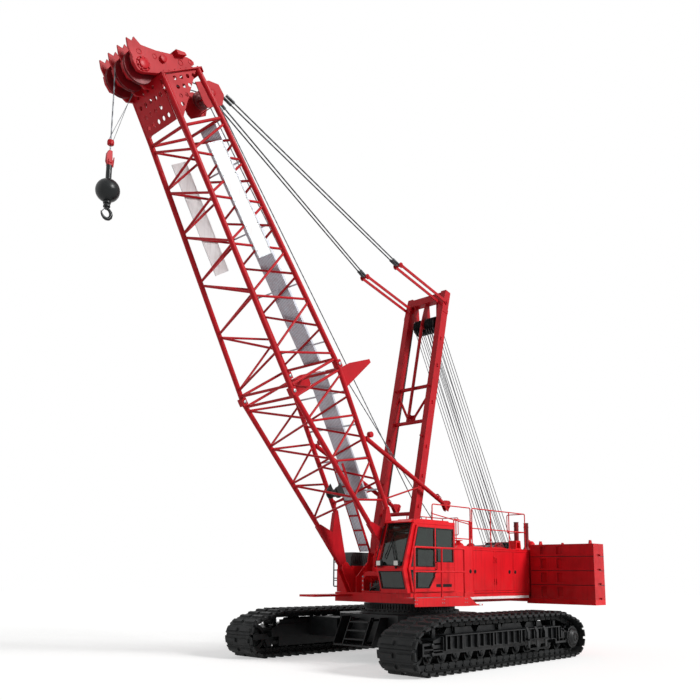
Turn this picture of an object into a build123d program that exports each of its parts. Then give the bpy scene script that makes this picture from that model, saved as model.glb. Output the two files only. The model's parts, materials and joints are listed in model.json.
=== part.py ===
from build123d import *
import math
import os

# Crawler crane with a lattice boom, in millimetres.
# +X points to the front, +Y to the cab side, +Z up. The origin is on the ground under the slew axis.

# ---- undercarriage ----
TRACK_LENGTH = 8060
TRACK_GAUGE = 5640
TRACK_HEIGHT = 1330
IDLER_RADIUS = 570
IDLER_X = TRACK_LENGTH / 2 - IDLER_RADIUS
SHOULDER_RADIUS = 335
SHOULDER_X = IDLER_X - 660
SHOE_WIDTH = 1120
SHOE_COUNT = 58
SHOE_THICKNESS = 75
GROUSER_HEIGHT = 55
TRACK_LINK = 90
BAND = GROUSER_HEIGHT + SHOE_THICKNESS + TRACK_LINK
SPROCKET_TEETH = 16
CARRIER_RADIUS = 95
WHEEL_WIDTH = 300
WHEEL_GAP = 0.3
BOTTOM_ROLLER_RADIUS = 150
BOTTOM_ROLLER_COUNT = 12
BOTTOM_ROLLER_SHAFT = BAND + WHEEL_GAP + BOTTOM_ROLLER_RADIUS
CARRIER_ROLLERS = (-1900, 0, 1900)
FRAME_WIDTH = 760
CARBODY_HALF_LENGTH = 1750
CARBODY_HALF_WIDTH = 1500
CARBODY_BOTTOM = 430
CARBODY_TOP = 1300
AXLE_BEAM_X = 1300
AXLE_BEAM_WIDTH = 640
SLEW_RING_RADIUS = 1260
SLEW_RING_BORE = 960

# ---- rotating bed and house ----
BED_BOTTOM = 1545
BED_TOP = 1800
BED_FRONT = 1510
BED_REAR = -5250
BED_HALF_WIDTH = 1500
HOUSE_FRONT = -450
HOUSE_HALF_WIDTH = 1650
HOUSE_TOP = 3090
BAY_HALF_WIDTH = 780
WALL = 30
DOOR_THICKNESS = 40
DOOR_CLEARANCE = 8
DOOR_BOTTOM = 1860
DOOR_TOP = 2990
HINGE_RADIUS = 15
HINGE_LENGTH = 80
HINGE_LEVELS = (2080, 2700)
RAIL_HEIGHT = 1100
RAIL_RADIUS = 20

# ---- counterweight ----
WEIGHT_FRONT = -3830
WEIGHT_HALF_WIDTH = 3810
WEIGHT_SIDE_DEPTH = 640
WEIGHT_REAR = -5650
WEIGHT_INNER = HOUSE_HALF_WIDTH + 60
TRAY_BOTTOM = 1460
TRAY_TOP = 1610

# ---- cab ----
CAB_REAR = 420
CAB_INNER = 1070
CAB_OUTER = 1950
CAB_FLOOR = 1840
CAB_ROOF = 3690
CAB_WALL = 45
GLASS = 8
WALKWAY_FRONT = 2700
WALKWAY_RAIL = 1230

# ---- boom, lying along its own axis with its foot pin at the origin ----
BOOM_FOOT = (1750, 2500)
BOOM_ANGLE = 57.4
FOOT_PIN_RADIUS = 75
FOOT_HALF_WIDTH = 950
BUTT_LENGTH = 5500
RING_AT = 12000
HEAD_LENGTH = 1100
CHORD_RADIUS = 66
LACING_RADIUS = 30
LACING_SPREAD = 36
FIT_GAP = 0.4
LUG_HALF = 95
# along the boom: distance, half width, underside offset, back offset of the chord lines
FOOT_BOX_END = (1500, 950, -270, 540)
JOINT = (BUTT_LENGTH, 935, -955, 860)
RING = (RING_AT, 660, -600, 600)
FLANGE = (RING_AT + HEAD_LENGTH, 612, -575, 520)
TOP_BAYS = 10
TOP_BAY_GROWTH = 1.056
BUTT_BAYS = 6
HEAD_SHEAVE_AT = (RING_AT + 1370, -955)
HEAD_SHEAVE_RADIUS = 360
GROOVE_DEPTH = 38
ROPE_RADIUS = 14
CHEEK_GAP = 4
CHEEK_THICKNESS = 36
FOOT_THICKNESS = 124
STOP_RADIUS = 62
STOP_BAR_RADIUS = 24

# ---- mast, lying along its own axis with its foot pin at the origin ----
MAST_FOOT = (760, 2930)
MAST_ANGLE = 102.6
MAST_LENGTH = 8250
MAST_HANGER = MAST_LENGTH - 1150
MAST_LEG_Y = 655
MAST_LEG_WIDTH = 190
MAST_LEG_DEPTH = 280
MAST_TUBES = (1100, 3940, 5070)
MAST_STRUT_Z = -115
PENDANT_AT = 7858
PENDANT_PIN_RADIUS = 45
LINK_THICKNESS = 24
LINK_PIN_RADIUS = 36
PENDANT_RADIUS = 19
SOCKET_RADIUS = 38
PENDANT_PLAY = 125
PENDANT_HEAD_Y = 150
YOKE_LENGTH = 225

# ---- hoist line and hook ----
BALL_CENTRE = 10360
BALL_RADIUS = 257


def box(x0, x1, y0, y1, z0, z1):
    """A block between two corners."""
    return Pos((x0 + x1) / 2, (y0 + y1) / 2, (z0 + z1) / 2) * Box(x1 - x0, y1 - y0, z1 - z0)


def side_plate(points, y0, y1):
    """A flat plate whose outline lies in the XZ plane, from y0 to y1."""
    face = Plane.XZ * make_face(Polyline(*points, close=True).edges())
    return Pos(0, y1, 0) * extrude(face, y1 - y0, dir=(0, -1, 0))


def deck_plate(points, z0, z1):
    """A flat plate whose outline lies in the XY plane, from z0 to z1."""
    return Pos(0, 0, z0) * extrude(make_face(Polyline(*points, close=True).edges()), z1 - z0)


def rod(start, end, radius):
    """A round bar between two points."""
    a, b = Vector(*start), Vector(*end)
    return Plane(origin=a, z_dir=b - a) * Pos(0, 0, (b - a).length / 2) * Cylinder(radius, (b - a).length)


def disc(x, z, radius, y0, y1):
    """A disc or drum whose axis runs across the machine."""
    return Pos(x, (y0 + y1) / 2, z) * Rot(90, 0, 0) * Cylinder(radius, y1 - y0)


def mitred(start, end, radius, start_chord, end_chord, chord_radius):
    """A round lacing between two chord lines, each end cut flat along the chord it is welded to."""
    a, b = Vector(*start), Vector(*end)
    along = (b - a).normalized()
    tube = rod(tuple(a - along * 50), tuple(b + along * 50), radius)
    for point, chord, towards in ((a, start_chord, along), (b, end_chord, along * -1)):
        chord_dir = Vector(*chord).normalized()
        normal = (towards - chord_dir * towards.dot(chord_dir)).normalized()
        cut = Plane(origin=point + normal * (chord_radius + FIT_GAP), z_dir=normal)
        tube = split(tube, bisect_by=cut, keep=Keep.TOP)
    return tube


def both_sides(shape):
    """The shape and its mirror image across the machine's middle plane."""
    return [shape, mirror(shape, Plane.XZ)]


def raised(shape, foot, angle):
    """Stand a boom or mast that was drawn lying along X up to its angle on its foot pin."""
    return Pos(foot[0], 0, foot[1]) * Rot(0, -angle, 0) * shape


def on_boom(shapes):
    return [raised(s, BOOM_FOOT, BOOM_ANGLE) for s in shapes]


def on_mast(shapes):
    return [raised(s, MAST_FOOT, MAST_ANGLE) for s in shapes]


def boom_point(along, up):
    """World X and Z of a point given along the boom and towards its back."""
    a = math.radians(BOOM_ANGLE)
    return (BOOM_FOOT[0] + along * math.cos(a) - up * math.sin(a),
            BOOM_FOOT[1] + along * math.sin(a) + up * math.cos(a))


def mast_point(along, up):
    """World X and Z of a point given along the mast and towards its back."""
    a = math.radians(MAST_ANGLE)
    return (MAST_FOOT[0] + along * math.cos(a) - up * math.sin(a),
            MAST_FOOT[1] + along * math.sin(a) + up * math.cos(a))


def line_x():
    """Where the hoist line hangs: straight down off the front of the middle head sheave."""
    return boom_point(*HEAD_SHEAVE_AT)[0] + HEAD_SHEAVE_RADIUS - GROOVE_DEPTH + ROPE_RADIUS + 0.3


def save(name, shapes):
    """Write one sub-part as a STEP file of separate solids."""
    solids = []
    for shape in shapes:
        solids.extend(shape.solids())
    export_step(Compound(children=solids), f"parts/{name}.step")


# ---------------------------------------------------------------- undercarriage
def track_corners(inset):
    """Rounded corners of a track, inside the grouser tips: centre, radius, first and last angle of each arc."""
    high = TRACK_HEIGHT - SHOULDER_RADIUS
    discs = [(IDLER_X, IDLER_RADIUS, IDLER_RADIUS - inset), (SHOULDER_X, high, SHOULDER_RADIUS - inset),
             (-SHOULDER_X, high, SHOULDER_RADIUS - inset), (-IDLER_X, IDLER_RADIUS, IDLER_RADIUS - inset)]
    leaving = []
    for (x0, z0, r0), (x1, z1, r1) in zip(discs, discs[1:] + discs[:1]):
        lean = math.asin((r0 - r1) / math.hypot(x1 - x0, z1 - z0))
        angle = math.atan2(z1 - z0, x1 - x0) - math.pi / 2 + lean
        leaving.append(angle if angle >= -math.pi / 2 - 0.01 else angle + 2 * math.pi)
    arriving = [-math.pi / 2] + leaving[:3]
    leaving[3] = 3 * math.pi / 2
    return [(x, z, r, a, b) for (x, z, r), a, b in zip(discs, arriving, leaving)]


def on_arc(corner_arc, angle, height=0):
    x, z, r = corner_arc[:3]
    return x + (r + height) * math.cos(angle), z + (r + height) * math.sin(angle)


def track_runs():
    """Each corner arc and the straight run after it, with lengths at the outer face of the shoe plates."""
    corners = track_corners(GROUSER_HEIGHT)
    runs = []
    for arc, following in zip(corners, corners[1:] + corners[:1]):
        end, start = on_arc(arc, arc[4]), on_arc(following, following[3])
        runs.append((arc, arc[2] * (arc[4] - arc[3]), end, start,
                     math.hypot(start[0] - end[0], start[1] - end[1])))
    return runs


def track_station(distance, height):
    """Point on the track loop at a travelled distance, at a height over the shoe plates."""
    for arc, arc_length, end, start, straight in track_runs():
        if distance < arc_length:
            return on_arc(arc, arc[3] + distance / arc[2], height)
        distance -= arc_length
        if distance < straight:
            share = distance / straight
            out_x, out_z = math.cos(arc[4]) * height, math.sin(arc[4]) * height
            return (end[0] + (start[0] - end[0]) * share + out_x,
                    end[1] + (start[1] - end[1]) * share + out_z)
        distance -= straight
    return track_station(distance, height)


def shoe_pitch():
    return sum(run[1] + run[4] for run in track_runs()) / SHOE_COUNT


# distance along one shoe as a share of the pitch, and height over the plate's outer face
SHOE_PROFILE = ((0.0, -22), (0.05, 0), (0.30, 0), (0.38, GROUSER_HEIGHT), (0.56, GROUSER_HEIGHT), (0.64, 0),
                (0.95, 0))


def track_loop(side):
    """One endless track: inner link band, shoe plates and grousers in a single outline."""
    pitch = shoe_pitch()
    points = [track_station((shoe + share) * pitch, height) for shoe in range(SHOE_COUNT) for share,
              height in SHOE_PROFILE]
    y = side * TRACK_GAUGE / 2
    band = side_plate(points, y - SHOE_WIDTH / 2, y + SHOE_WIDTH / 2)
    corners = track_corners(BAND)
    edges = []
    for arc, following in zip(corners, corners[1:] + corners[:1]):
        edges.append(ThreePointArc(on_arc(arc, arc[3]), on_arc(arc, (arc[3] + arc[4]) / 2),
                                   on_arc(arc, arc[4])))
        edges.append(Line(on_arc(arc, arc[4]), on_arc(following, following[3])))
    room = Plane.XZ * make_face(Curve() + edges)
    return band - Pos(0, y, 0) * extrude(room, SHOE_WIDTH, both=True)


def roller_reach():
    """Distance from the machine's middle to the first bottom roller, clear of the idler and the sprocket."""
    wheel = IDLER_RADIUS - BAND
    apart = wheel + BOTTOM_ROLLER_RADIUS + 12
    rise = wheel - BOTTOM_ROLLER_RADIUS
    return IDLER_X - math.sqrt(apart ** 2 - rise ** 2)


def carriers():
    """Centre X, centre Z and radius of the rollers under the top run."""
    z = TRACK_HEIGHT - BAND - WHEEL_GAP - CARRIER_RADIUS
    shoulder = SHOULDER_RADIUS - BAND - WHEEL_GAP
    return [(x, z, CARRIER_RADIUS) for x in CARRIER_ROLLERS] + [
        (x, TRACK_HEIGHT - SHOULDER_RADIUS, shoulder) for x in (-SHOULDER_X, SHOULDER_X)]


def track_wheels(side):
    """Front idler, rear sprocket, bottom rollers and carrier rollers of one track."""
    y = side * TRACK_GAUGE / 2
    wheel = IDLER_RADIUS - BAND - WHEEL_GAP
    w = WHEEL_WIDTH / 2
    shapes = []
    rim = disc(IDLER_X, IDLER_RADIUS, wheel, y - w, y + w)
    rim -= disc(IDLER_X, IDLER_RADIUS, wheel - 90, y - w, y - w + 90)
    rim -= disc(IDLER_X, IDLER_RADIUS, wheel - 90, y + w - 90, y + w)
    hub_reach = w + 65 - WHEEL_GAP
    shapes.append(rim + disc(IDLER_X, IDLER_RADIUS, 110, y - hub_reach, y + hub_reach))
    sprocket = disc(-IDLER_X, IDLER_RADIUS, wheel, y - w, y + w)
    for tooth in range(SPROCKET_TEETH):
        a = 2 * math.pi * tooth / SPROCKET_TEETH
        gap_x, gap_z = -IDLER_X + wheel * math.cos(a), IDLER_RADIUS + wheel * math.sin(a)
        sprocket -= disc(gap_x, gap_z, 42, y - w, y + w)
    shapes.append(sprocket + disc(-IDLER_X, IDLER_RADIUS, 170, y - hub_reach, y + hub_reach))
    reach = w + 20 - WHEEL_GAP
    for x in roller_stations():
        roller = disc(x, BOTTOM_ROLLER_SHAFT, BOTTOM_ROLLER_RADIUS, y - w, y + w)
        shapes.append(roller + disc(x, BOTTOM_ROLLER_SHAFT, 55, y - reach, y + reach))
    for x, z, radius in carriers():
        shapes.append(disc(x, z, radius, y - w, y + w) + disc(x, z, 40, y - reach, y + reach))
    return shapes


def track_frame(side):
    """Box frame of one crawler with ribbed outer wall, between idler and sprocket."""
    y = side * TRACK_GAUGE / 2
    reach = IDLER_X - (IDLER_RADIUS - BAND) - 60
    f = FRAME_WIDTH / 2
    top, bottom = 890, 560
    outline = [(-reach, bottom), (reach, bottom), (reach, top - 90), (reach - 350, top), (-reach + 350, top),
               (-reach, top - 90)]
    beam = side_plate(outline, y - f, y + f)
    for rib in range(9):
        x = -reach + 420 + rib * (2 * reach - 840) / 8
        outer = y + side * f
        beam += box(x - 25, x + 25, min(outer, outer + side * 70), max(outer, outer + side * 70), bottom, top)
    w = WHEEL_WIDTH / 2
    for cheek in (-1, 1):
        y0, y1 = sorted((y + cheek * (w + 20), y + cheek * (w + 52)))
        beam += side_plate(roller_hangers(bottom), y0, y1)
        for end in (-1, 1):
            x0, x1 = sorted((end * (reach - 10), end * (IDLER_X + 150)))
            beam += box(x0, x1, y0 + 45 * cheek, y1 + 45 * cheek, IDLER_RADIUS - 75, IDLER_RADIUS + 75)
        for x, z, _ in carriers():
            beam += box(x - 60, x + 60, y0, y1, top - 100, z + 45)
    return beam


def roller_stations():
    first = roller_reach()
    return [-first + 2 * first * i / (BOTTOM_ROLLER_COUNT - 1) for i in range(BOTTOM_ROLLER_COUNT)]


def roller_hangers(frame_bottom):
    """Outline of a cheek plate whose tapered hangers reach down to the bottom rollers' shafts."""
    outline = [(roller_reach() + 90, frame_bottom + 10), (-roller_reach() - 90, frame_bottom + 10)]
    level = BOTTOM_ROLLER_SHAFT
    for x in roller_stations():
        outline += [(x - 150, level + 75), (x - 60, level - 65), (x + 60, level - 65), (x + 150, level + 75)]
    return outline


def carbody():
    """Centre box with two cross axle beams into the crawler frames and a ring seat on top."""
    a, b, cut = CARBODY_HALF_LENGTH, CARBODY_HALF_WIDTH, 450
    plan = [(a - cut, -b), (a, -b + cut), (a, b - cut), (a - cut, b), (-a + cut, b), (-a, b - cut),
            (-a, -b + cut), (-a + cut, -b)]
    body = deck_plate(plan, CARBODY_BOTTOM, CARBODY_TOP - 60)
    body += Pos(0, 0, CARBODY_TOP - 60) * extrude(Circle(SLEW_RING_RADIUS + 120), 60)
    body -= Pos(0, 0, CARBODY_BOTTOM) * extrude(Circle(SLEW_RING_BORE - 100), CARBODY_TOP)
    reach = TRACK_GAUGE / 2 - FRAME_WIDTH / 2 - FIT_GAP
    for x in (-AXLE_BEAM_X, AXLE_BEAM_X):
        w = AXLE_BEAM_WIDTH / 2
        for side in (-1, 1):
            y0, y1 = sorted((side * (b - 200), side * reach))
            body += box(x - w, x + w, y0, y1, 560, 1090)
    return body


def carbody_steps():
    """Stepped platforms on the front and rear of the centre box."""
    shapes = []
    for end in (1, -1):
        x0 = end * (CARBODY_HALF_LENGTH + 0.3)
        for depth, z0, z1 in ((620, 430, 520), (300, 520, 1180)):
            x = sorted((x0, x0 + end * depth))
            shapes.append(box(x[0], x[1], -700, 700, z0, z1 - 0.3))
    return shapes


def slew_ring():
    """Bearing between carbody and rotating bed; its upper race stays clear of the bed."""
    ring = Pos(0, 0, CARBODY_TOP) * extrude(Circle(SLEW_RING_RADIUS) - Circle(SLEW_RING_BORE),
                                            BED_BOTTOM - CARBODY_TOP - 0.5)
    return ring - Pos(0, 0, CARBODY_TOP + 95) * extrude(Circle(SLEW_RING_RADIUS + 9)
                                                        - Circle(SLEW_RING_RADIUS - 40), 30)


# ---------------------------------------------------------------- rotating bed and house
def rotating_bed():
    """Main frame: box deck with a stepped nose and two upright side girders."""
    bed = box(BED_REAR, BED_FRONT, -BED_HALF_WIDTH, BED_HALF_WIDTH, BED_BOTTOM, BED_TOP)
    for side in (-1, 1):
        y0, y1 = sorted((side * (BAY_HALF_WIDTH - 60), side * (BAY_HALF_WIDTH - 25)))
        girder = [(BED_REAR, BED_TOP - 5), (BED_FRONT - 60, BED_TOP - 5), (BED_FRONT - 60, 2220), (980, 2640),
                  (-300, 2640), (-1200, 2250), (BED_REAR, 2250)]
        bed += side_plate(girder, y0, y1)
    for side in (-1, 1):
        bed += side_sill(side)
    bed += front_platform()
    return bed - Pos(0, 0, BED_BOTTOM - 10) * extrude(Circle(520), 400)


def pivot_brackets():
    """Clevis plates and pins that carry the boom feet and the mast feet."""
    shapes = []
    fx, fz = BOOM_FOOT
    for side in (-1, 1):
        for cheek in (-1, 1):
            y = side * FOOT_HALF_WIDTH + cheek * (FOOT_THICKNESS / 2 + CHEEK_GAP + CHEEK_THICKNESS / 2)
            plate = side_plate([(1000, BED_TOP + 0.3), (BED_FRONT - 5, BED_TOP + 0.3), (fx + 130, fz - 90),
                                (fx + 130, fz + 60),
                                (fx + 60, fz + 130), (fx - 60, fz + 130), (fx - 260, fz - 60)],
                               y - CHEEK_THICKNESS / 2, y + CHEEK_THICKNESS / 2)
            shapes.append(plate - disc(fx, fz, FOOT_PIN_RADIUS + 0.3, y - 30, y + 30))
        y = side * FOOT_HALF_WIDTH
        shapes.append(disc(fx, fz, FOOT_PIN_RADIUS, y - 108, y + 108))
    mx, mz = MAST_FOOT
    for side in (-1, 1):
        for cheek in (-1, 1):
            y = side * MAST_LEG_Y + cheek * (MAST_LEG_WIDTH / 2 + 22)
            shapes.append(side_plate([(mx - 320, BED_TOP + 0.3), (mx + 320, BED_TOP + 0.3),
                                      (mx + 110, mz + 60),
                                      (mx + 50, mz + 110), (mx - 50, mz + 110), (mx - 110,
                                                                                 mz + 60)], y - 12, y + 12)
                          - disc(mx, mz, 60.3, y - 30, y + 30))
        y = side * MAST_LEG_Y
        shapes.append(disc(mx, mz, 60, y - 150, y + 150))
    return shapes


# left and right engine doors: name, front edge, rear edge, hinged edge
DOORS = (
    ("engine_door_1", -850, -1900, "rear"),
    ("engine_door_2", -2010, -2900, "front"),
    ("engine_door_3", -2960, -3770, "rear"),
)


def house_walls():
    """Two side bays of the machinery house: roof, inner walls, end walls and posts round the doors."""
    top, low = HOUSE_TOP, BED_TOP + 0.3
    shell = None
    for side in (-1, 1):
        inner, outer = BAY_HALF_WIDTH, HOUSE_HALF_WIDTH
        y0, y1 = sorted((side * inner, side * outer))
        bay = box(BED_REAR + 40, HOUSE_FRONT, y0, y1, low, top)
        room = sorted((side * (inner + WALL), side * (outer - DOOR_THICKNESS)))
        bay -= box(BED_REAR + 40 + WALL, HOUSE_FRONT - WALL, room[0], room[1], low - 10, top - WALL)
        for _, front, rear, hinged in DOORS:
            y = sorted((side * (outer - 100), side * (outer + 10)))
            bay -= box(rear - DOOR_CLEARANCE, front + DOOR_CLEARANCE, y[0], y[1],
                       DOOR_BOTTOM - DOOR_CLEARANCE, DOOR_TOP + DOOR_CLEARANCE)
        for _, front, rear, hinged in DOORS:
            away = -1 if hinged == "rear" else 1
            fixed = [z + HINGE_LENGTH + 0.4 for z in HINGE_LEVELS]
            bay += hinge(side, hinge_axis(front, rear, hinged), away, fixed)
        shell = bay if shell is None else shell + bay
    return shell


def side_sill(side):
    """Low sill under the doors on one side of the bed."""
    y0, y1 = sorted((side * (BED_HALF_WIDTH - 10), side * HOUSE_HALF_WIDTH))
    return box(-3790, -480, y0, y1, BED_BOTTOM + 75, BED_TOP - 12)


def hinge(side, axis_x, towards, levels):
    """Round hinge knuckles outside the wall, each with a leaf on one side of its axis."""
    face = side * HOUSE_HALF_WIDTH
    parts = None
    for z in levels:
        knuckle = Pos(axis_x, face + side * HINGE_RADIUS, z) * Cylinder(HINGE_RADIUS, HINGE_LENGTH)
        x = sorted((axis_x, axis_x + towards * 70))
        y = sorted((face - side * 2, face + side * 6))
        knuckle += box(x[0], x[1], y[0], y[1], z - HINGE_LENGTH / 2, z + HINGE_LENGTH / 2)
        parts = knuckle if parts is None else parts + knuckle
    return parts


def hinge_axis(front, rear, hinged):
    """X of a door's hinge axis, in the clearance beside its hinged edge."""
    return rear - DOOR_CLEARANCE / 2 if hinged == "rear" else front + DOOR_CLEARANCE / 2


def engine_door(side, front, rear, hinged):
    """Flat pressed door leaf with a raised border inside and its hinge knuckles."""
    y = sorted((side * (HOUSE_HALF_WIDTH - DOOR_THICKNESS), side * HOUSE_HALF_WIDTH))
    leaf = box(rear, front, y[0], y[1], DOOR_BOTTOM, DOOR_TOP)
    dish = sorted((side * (HOUSE_HALF_WIDTH - DOOR_THICKNESS - 1), side * (HOUSE_HALF_WIDTH - 14)))
    leaf -= box(rear + 60, front - 60, dish[0], dish[1], DOOR_BOTTOM + 60, DOOR_TOP - 60)
    towards = 1 if hinged == "rear" else -1
    return leaf + hinge(side, hinge_axis(front, rear, hinged), towards, HINGE_LEVELS)


def rail(points, height, radius):
    """A handrail along a route: posts at the points, a top rail and a knee rail."""
    shape = None
    for start, end in zip(points, points[1:]):
        a, b = Vector(*start), Vector(*end)
        for level in (height, height * 0.52):
            lift = Vector(0, 0, level)
            bar = rod(tuple(a + lift), tuple(b + lift), radius * 0.8)
            shape = bar if shape is None else shape + bar
    for x, y, z in points:
        shape += rod((x, y, z), (x, y, z + height), radius)
        shape += Pos(x, y, z + height) * Sphere(radius)
    return shape


def deck_rails():
    """Handrails round the roof of the two side bays."""
    z = HOUSE_TOP + 0.3
    y = HOUSE_HALF_WIDTH - 60
    xs = (HOUSE_FRONT - 60, -1300, -2150, -3000, -3760)
    near = [(x, y, z) for x in xs]
    return both_sides(rail(near, RAIL_HEIGHT, RAIL_RADIUS))


def cab_walkway():
    """Step grating beside the cab with its handrail."""
    under = BED_TOP - 90 - 0.3
    plank = box(CAB_REAR + 80, WALKWAY_FRONT + 40, CAB_OUTER + 60, CAB_OUTER + 460, under - 5, under + 35)
    arms = [box(x, x + 60, CAB_OUTER - 200, CAB_OUTER + 460, under - 65, under) for x in (620, 1900)]
    z = under + 35
    y = CAB_OUTER + 430
    line = rail([(620, y, z), (1600, y, z), (WALKWAY_FRONT, y, z)], WALKWAY_RAIL, RAIL_RADIUS)
    return [plank + arms[0] + arms[1] + line]


# ---------------------------------------------------------------- cab
CAB_FRONT_TOP = 2190
CAB_FRONT_SILL = 2620
CAB_SILL_Z = 2440
CAB_CHIN = 2440
CAB_OUTLINE = [(CAB_REAR, CAB_FLOOR), (CAB_CHIN, CAB_FLOOR), (CAB_FRONT_SILL, CAB_SILL_Z),
               (CAB_FRONT_TOP, CAB_ROOF), (CAB_REAR, CAB_ROOF)]


def shrunk(points, inset):
    """The same outline moved inwards."""
    face = make_face(Polyline(*points, close=True).edges())
    return offset(face, -inset, kind=Kind.INTERSECTION)


def window(points, y0, y1):
    return side_plate(points, y0, y1)


DOOR_OUTLINE = [(1330, 1900), (2310, 1900), (2450, 2440), (2120, 3560), (1330, 3560)]
DOOR_HOLE = [(1360, 1930), (2287, 1930), (2418, 2440), (2098, 3530), (1360, 3530)]
DOOR_UPPER = [(1400, 2520), (2330, 2520), (2060, 3490), (1400, 3490)]
DOOR_LOWER = [(1620, 1980), (2240, 1980), (2350, 2400), (1400, 2400), (1400, 2250)]
DOOR_STANDOFF = 6
REAR_SIDE_WINDOW = [(520, 2650), (1250, 2650), (1250, 3490), (520, 3490)]


def cab_shell():
    """Hollow cab: floor, roof, pillars and walls with every window cut through."""
    shell = side_plate(CAB_OUTLINE, CAB_INNER, CAB_OUTER)
    cavity = Plane.XZ * shrunk(CAB_OUTLINE, CAB_WALL)
    shell -= Pos(0, CAB_OUTER - CAB_WALL, 0) * extrude(cavity, CAB_OUTER - CAB_INNER - 2 * CAB_WALL,
                                                       dir=(0, -1, 0))
    shell -= window(DOOR_HOLE, CAB_OUTER - CAB_WALL - 20, CAB_OUTER + 10)
    rail_top = DOOR_OUTLINE[0][1] - 0.4
    shell += box(510, 2320, CAB_OUTER - 5, CAB_OUTER + 55, rail_top - 30, rail_top)
    shell -= window(REAR_SIDE_WINDOW, CAB_OUTER - 60, CAB_OUTER + 10)
    shell -= window([(560, 2500), (2380, 2500), (2110, 3520), (560, 3520)], CAB_INNER - 10, CAB_INNER + 60)
    shell -= box(CAB_REAR - 10, CAB_REAR + 60, CAB_INNER + 120, CAB_OUTER - 120, 2750, 3500)
    low, high = CAB_INNER + 70, CAB_OUTER - 70
    shell -= window([(2300, 2520), (2900, 2520), (2500, 3610), (2060, 3610)], low, high)
    shell -= window([(2300, 1960), (2800, 1960), (2800, 2370), (2380, 2370)], low, high)
    return shell


def pane(x0, z0, x1, z1, y0, y1):
    """A glass pane set in a raked front between two heights."""
    t = GLASS
    length = math.hypot(x1 - x0, z1 - z0)
    nx, nz = (z1 - z0) / length * t, -(x1 - x0) / length * t
    return side_plate([(x0, z0), (x1, z1), (x1 - nx, z1 - nz), (x0 - nx, z0 - nz)], y0, y1)


def between(start, end, share):
    return (start[0] + (end[0] - start[0]) * share, start[1] + (end[1] - start[1]) * share)


def cab_glass():
    """Windscreen, lower front pane, inner side pane, rear pane and rear side pane."""
    low, high = CAB_INNER + 70.3, CAB_OUTER - 70.3
    sill, top, chin = (CAB_FRONT_SILL, CAB_SILL_Z), (CAB_FRONT_TOP, CAB_ROOF), (CAB_CHIN, CAB_FLOOR)
    a, b = between(sill, top, 0.07), between(sill, top, 0.93)
    c, d = between(chin, sill, 0.205), between(chin, sill, 0.873)
    inset = 18
    panes = [pane(a[0] - inset, a[1], b[0] - inset, b[1], low, high),
             pane(c[0] - inset, c[1], d[0] - inset, d[1], low, high)]
    panes.append(window([(560.3, 2500.3), (2378, 2500.3), (2109, 3519.7), (560.3, 3519.7)], CAB_INNER + 18,
                        CAB_INNER + 18 + GLASS))
    panes.append(box(CAB_REAR + 18, CAB_REAR + 18 + GLASS, CAB_INNER + 120.3, CAB_OUTER - 120.3, 2750.3,
                     3499.7))
    panes.append(window([(520.3, 2650.3), (1249.7, 2650.3), (1249.7, 3489.7), (520.3, 3489.7)],
                        CAB_OUTER - 18 - GLASS, CAB_OUTER - 18))
    return panes


def cab_door():
    """Door leaf with an upper and a lower window."""
    face = CAB_OUTER + DOOR_STANDOFF
    leaf = side_plate(DOOR_OUTLINE, face, face + DOOR_THICKNESS)
    leaf -= window(DOOR_UPPER, face - 10, face + DOOR_THICKNESS + 10)
    return leaf - window(DOOR_LOWER, face - 10, face + DOOR_THICKNESS + 10)


def cab_door_glass():
    panes = []
    for outline in (DOOR_UPPER, DOOR_LOWER):
        face = Plane.XZ * shrunk(outline, 0.3)
        panes.append(Pos(0, CAB_OUTER + DOOR_STANDOFF + 24, 0) * extrude(face, GLASS, dir=(0, -1, 0)))
    return panes


def operator_seat():
    """Seat with backrest, armrest pods and a pedestal on the cab floor."""
    y = (CAB_INNER + CAB_OUTER) / 2
    floor = CAB_FLOOR + CAB_WALL + 0.3
    seat = box(1080, 1380, y - 150, y + 150, floor, floor + 330)
    seat += box(980, 1520, y - 250, y + 250, floor + 330, floor + 460)
    seat += side_plate([(900, floor + 400), (1040, floor + 400), (960, floor + 1130), (840, floor + 1130)],
                       y - 230, y + 230)
    for side in (-1, 1):
        a, b = sorted((y + side * 255, y + side * 345))
        seat += box(1000, 1500, a - 6, b + 6 if side < 0 else b, floor + 460, floor + 620)
    return seat


# ---------------------------------------------------------------- counterweight
def weight_plan(side, inset):
    """Plan outline of one stack: straight front, narrow outer end, slanted rear."""
    rear_inner = WEIGHT_REAR + inset
    return [(WEIGHT_FRONT - inset, side * (WEIGHT_INNER + inset)),
            (WEIGHT_FRONT - inset, side * (WEIGHT_HALF_WIDTH - inset)),
            (WEIGHT_FRONT - WEIGHT_SIDE_DEPTH + inset, side * (WEIGHT_HALF_WIDTH - inset)),
            (rear_inner + 150, side * (WEIGHT_INNER + 900)), (rear_inner, side * (WEIGHT_INNER + inset))]


WEIGHT_LEVELS = (TRAY_TOP, 2030, 2450, 2870, 3240)


def counterweights(side):
    """Four stacked slabs of one side, each with a chamfered seam and two pockets in its front."""
    slabs = []
    for low, high in zip(WEIGHT_LEVELS, WEIGHT_LEVELS[1:]):
        slab = deck_plate(weight_plan(side, 0), low + 0.3, high)
        for at in (2060, 2600):
            y = sorted((side * at, side * (at + 190)))
            slab -= box(WEIGHT_FRONT - 60, WEIGHT_FRONT + 10, y[0], y[1], low + 70, high - 60)
        end = sorted((side * (WEIGHT_HALF_WIDTH - 45), side * (WEIGHT_HALF_WIDTH + 10)))
        slab -= box(WEIGHT_FRONT - 420, WEIGHT_FRONT - 200, end[0], end[1], low - 10, low + 60)
        slabs.append(slab)
    return slabs


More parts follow.
